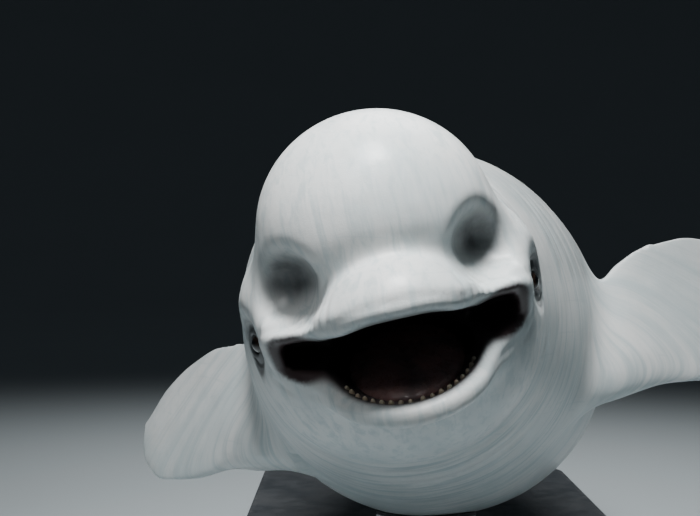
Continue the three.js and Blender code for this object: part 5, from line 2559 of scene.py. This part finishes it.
@dataclass(frozen=True)
class Studio:
    """A pale floor that curves up into a plain backdrop all round, soft lights, and the camera."""

    floor_colour: Triple = (0.40, 0.45, 0.47)
    floor_radius: float = 15.0
    wall_radius: float = 27.0
    wall_height: float = 13.0
    focal_pixels: float = 1250.0
    image_width: int = 700
    sensor: float = 36.0
    snout_from_camera: Triple = (61.0, 1630.0, -68.0)
    air: float = 0.04

    def floor(self) -> Piece:
        """The floor and the backdrop, in one sweep.

        Returns:
            The floor.
        """
        tree = Tree("studio_floor")
        tone = tree.range(tree.noise(0.6, 3), (0.3, 0.7), (0.0, 0.12))
        darker = tuple(0.8 * value for value in self.floor_colour)
        tree.set(Base_Color=tree.mix(tone, self.floor_colour, darker), Roughness=0.85)
        around = 96
        turn = full_turn(around)
        rise = np.linspace(0, math.pi / 2, 24)
        wide = self.wall_radius - self.floor_radius
        profile = [(r, 0.0) for r in (2.0, 6.0, 10.0)]
        profile += [
            (self.floor_radius + wide * math.sin(a), self.wall_height * (1 - math.cos(a))) for a in rise
        ]
        sweep = rings([circle(r, h, turn) for r, h in profile])
        points = np.vstack((sweep.points, np.zeros(3)))
        faces = sweep.faces.tolist() + [[len(points) - 1, (i + 1) % around, i] for i in range(around)]
        piece = mesh_object("studio_floor", points, faces, tree.material)
        return piece

    def light(self, name: str, at: Triple, towards: Triple, size: float, power: float, spread: float) -> None:
        """A soft square light, whose beam is so many degrees wide.

        Args:
            name: The light's name.
            at: Where it is.
            towards: What it points at.
            size: The length of its side.
            power: Its power, in watts.
            spread: The width of its beam, in degrees.
        """
        data = bpy.data.lights.new(name, "AREA")
        data.shape, data.size, data.energy, data.spread = "SQUARE", size, power, math.radians(spread)
        lamp = bpy.data.objects.new(name, data)
        lamp.location = at
        lamp.rotation_mode = "QUATERNION"
        lamp.rotation_quaternion = (Vector(towards) - Vector(at)).to_track_quat("-Z", "Y")
        lamp.visible_camera = False
        bpy.context.scene.collection.objects.link(lamp)

    def world(self, strength: float) -> None:
        """Even light from all round.

        Args:
            strength: How strong it is.
        """
        world = bpy.data.worlds.new("studio_air")
        world.use_nodes = True
        background = world.node_tree.nodes["Background"]
        background.inputs["Color"].default_value = (0.80, 0.90, 1.0, 1.0)
        background.inputs["Strength"].default_value = strength
        bpy.context.scene.world = world

    def camera(self, spine: Spine) -> None:
        """The camera, level, at the photo's distance from the snout.

        Args:
            spine: The whale's spine.
        """
        data = bpy.data.cameras.new("camera")
        data.sensor_width = self.sensor
        data.lens = self.focal_pixels * self.sensor / self.image_width
        eye = bpy.data.objects.new("camera", data)
        snout = spine.point(np.array([0.0]))[0]
        eye.location = (snout - np.array(self.snout_from_camera)) * MM
        eye.rotation_euler = (math.pi / 2, 0, 0)
        bpy.context.scene.collection.objects.link(eye)
        bpy.context.scene.camera = eye

    def build(self, spine: Spine) -> None:
        """Sets up the whole studio.

        Args:
            spine: The whale's spine.
        """
        self.camera(spine)
        self.floor()
        self.world(self.air)
        self.light("key", (-0.3, -2.45, 2.75), (-0.17, -1.62, 0.75), 0.55, 13.5, 62)
        self.light("front", (-1.3, -3.9, 3.2), (-0.1, -1.4, 0.7), 0.9, 3, 60)
        self.light("back", (0.3, 1.0, 4.2), (0.0, 0.2, 0.5), 2.4, 62, 100)


def main() -> None:
    """Builds the whale and its stand in order."""
    logging.basicConfig(level=logging.INFO, format="%(name)s: %(message)s")
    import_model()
    whale = Whale()
    Studio().build(whale.spine)
    flesh = [
        "head", "lower_jaw", "neck", "chest", "belly", "loin", "tail_stock",
        "flipper_left", "flipper_right", "fluke_left", "fluke_right",
    ]
    give(whale.skin(), "skin", *flesh)
    for place in whale.head.eyes:
        give(whale.eye(place), "eye", f"eye_{place.side.name.lower()}")
    for upper in (True, False):
        give(Teeth().build(whale, upper), "skin")
    give(Tongue().build(whale), "mouth", "tongue")
    Stand().build(whale)


if __name__ == "__main__":
    main()
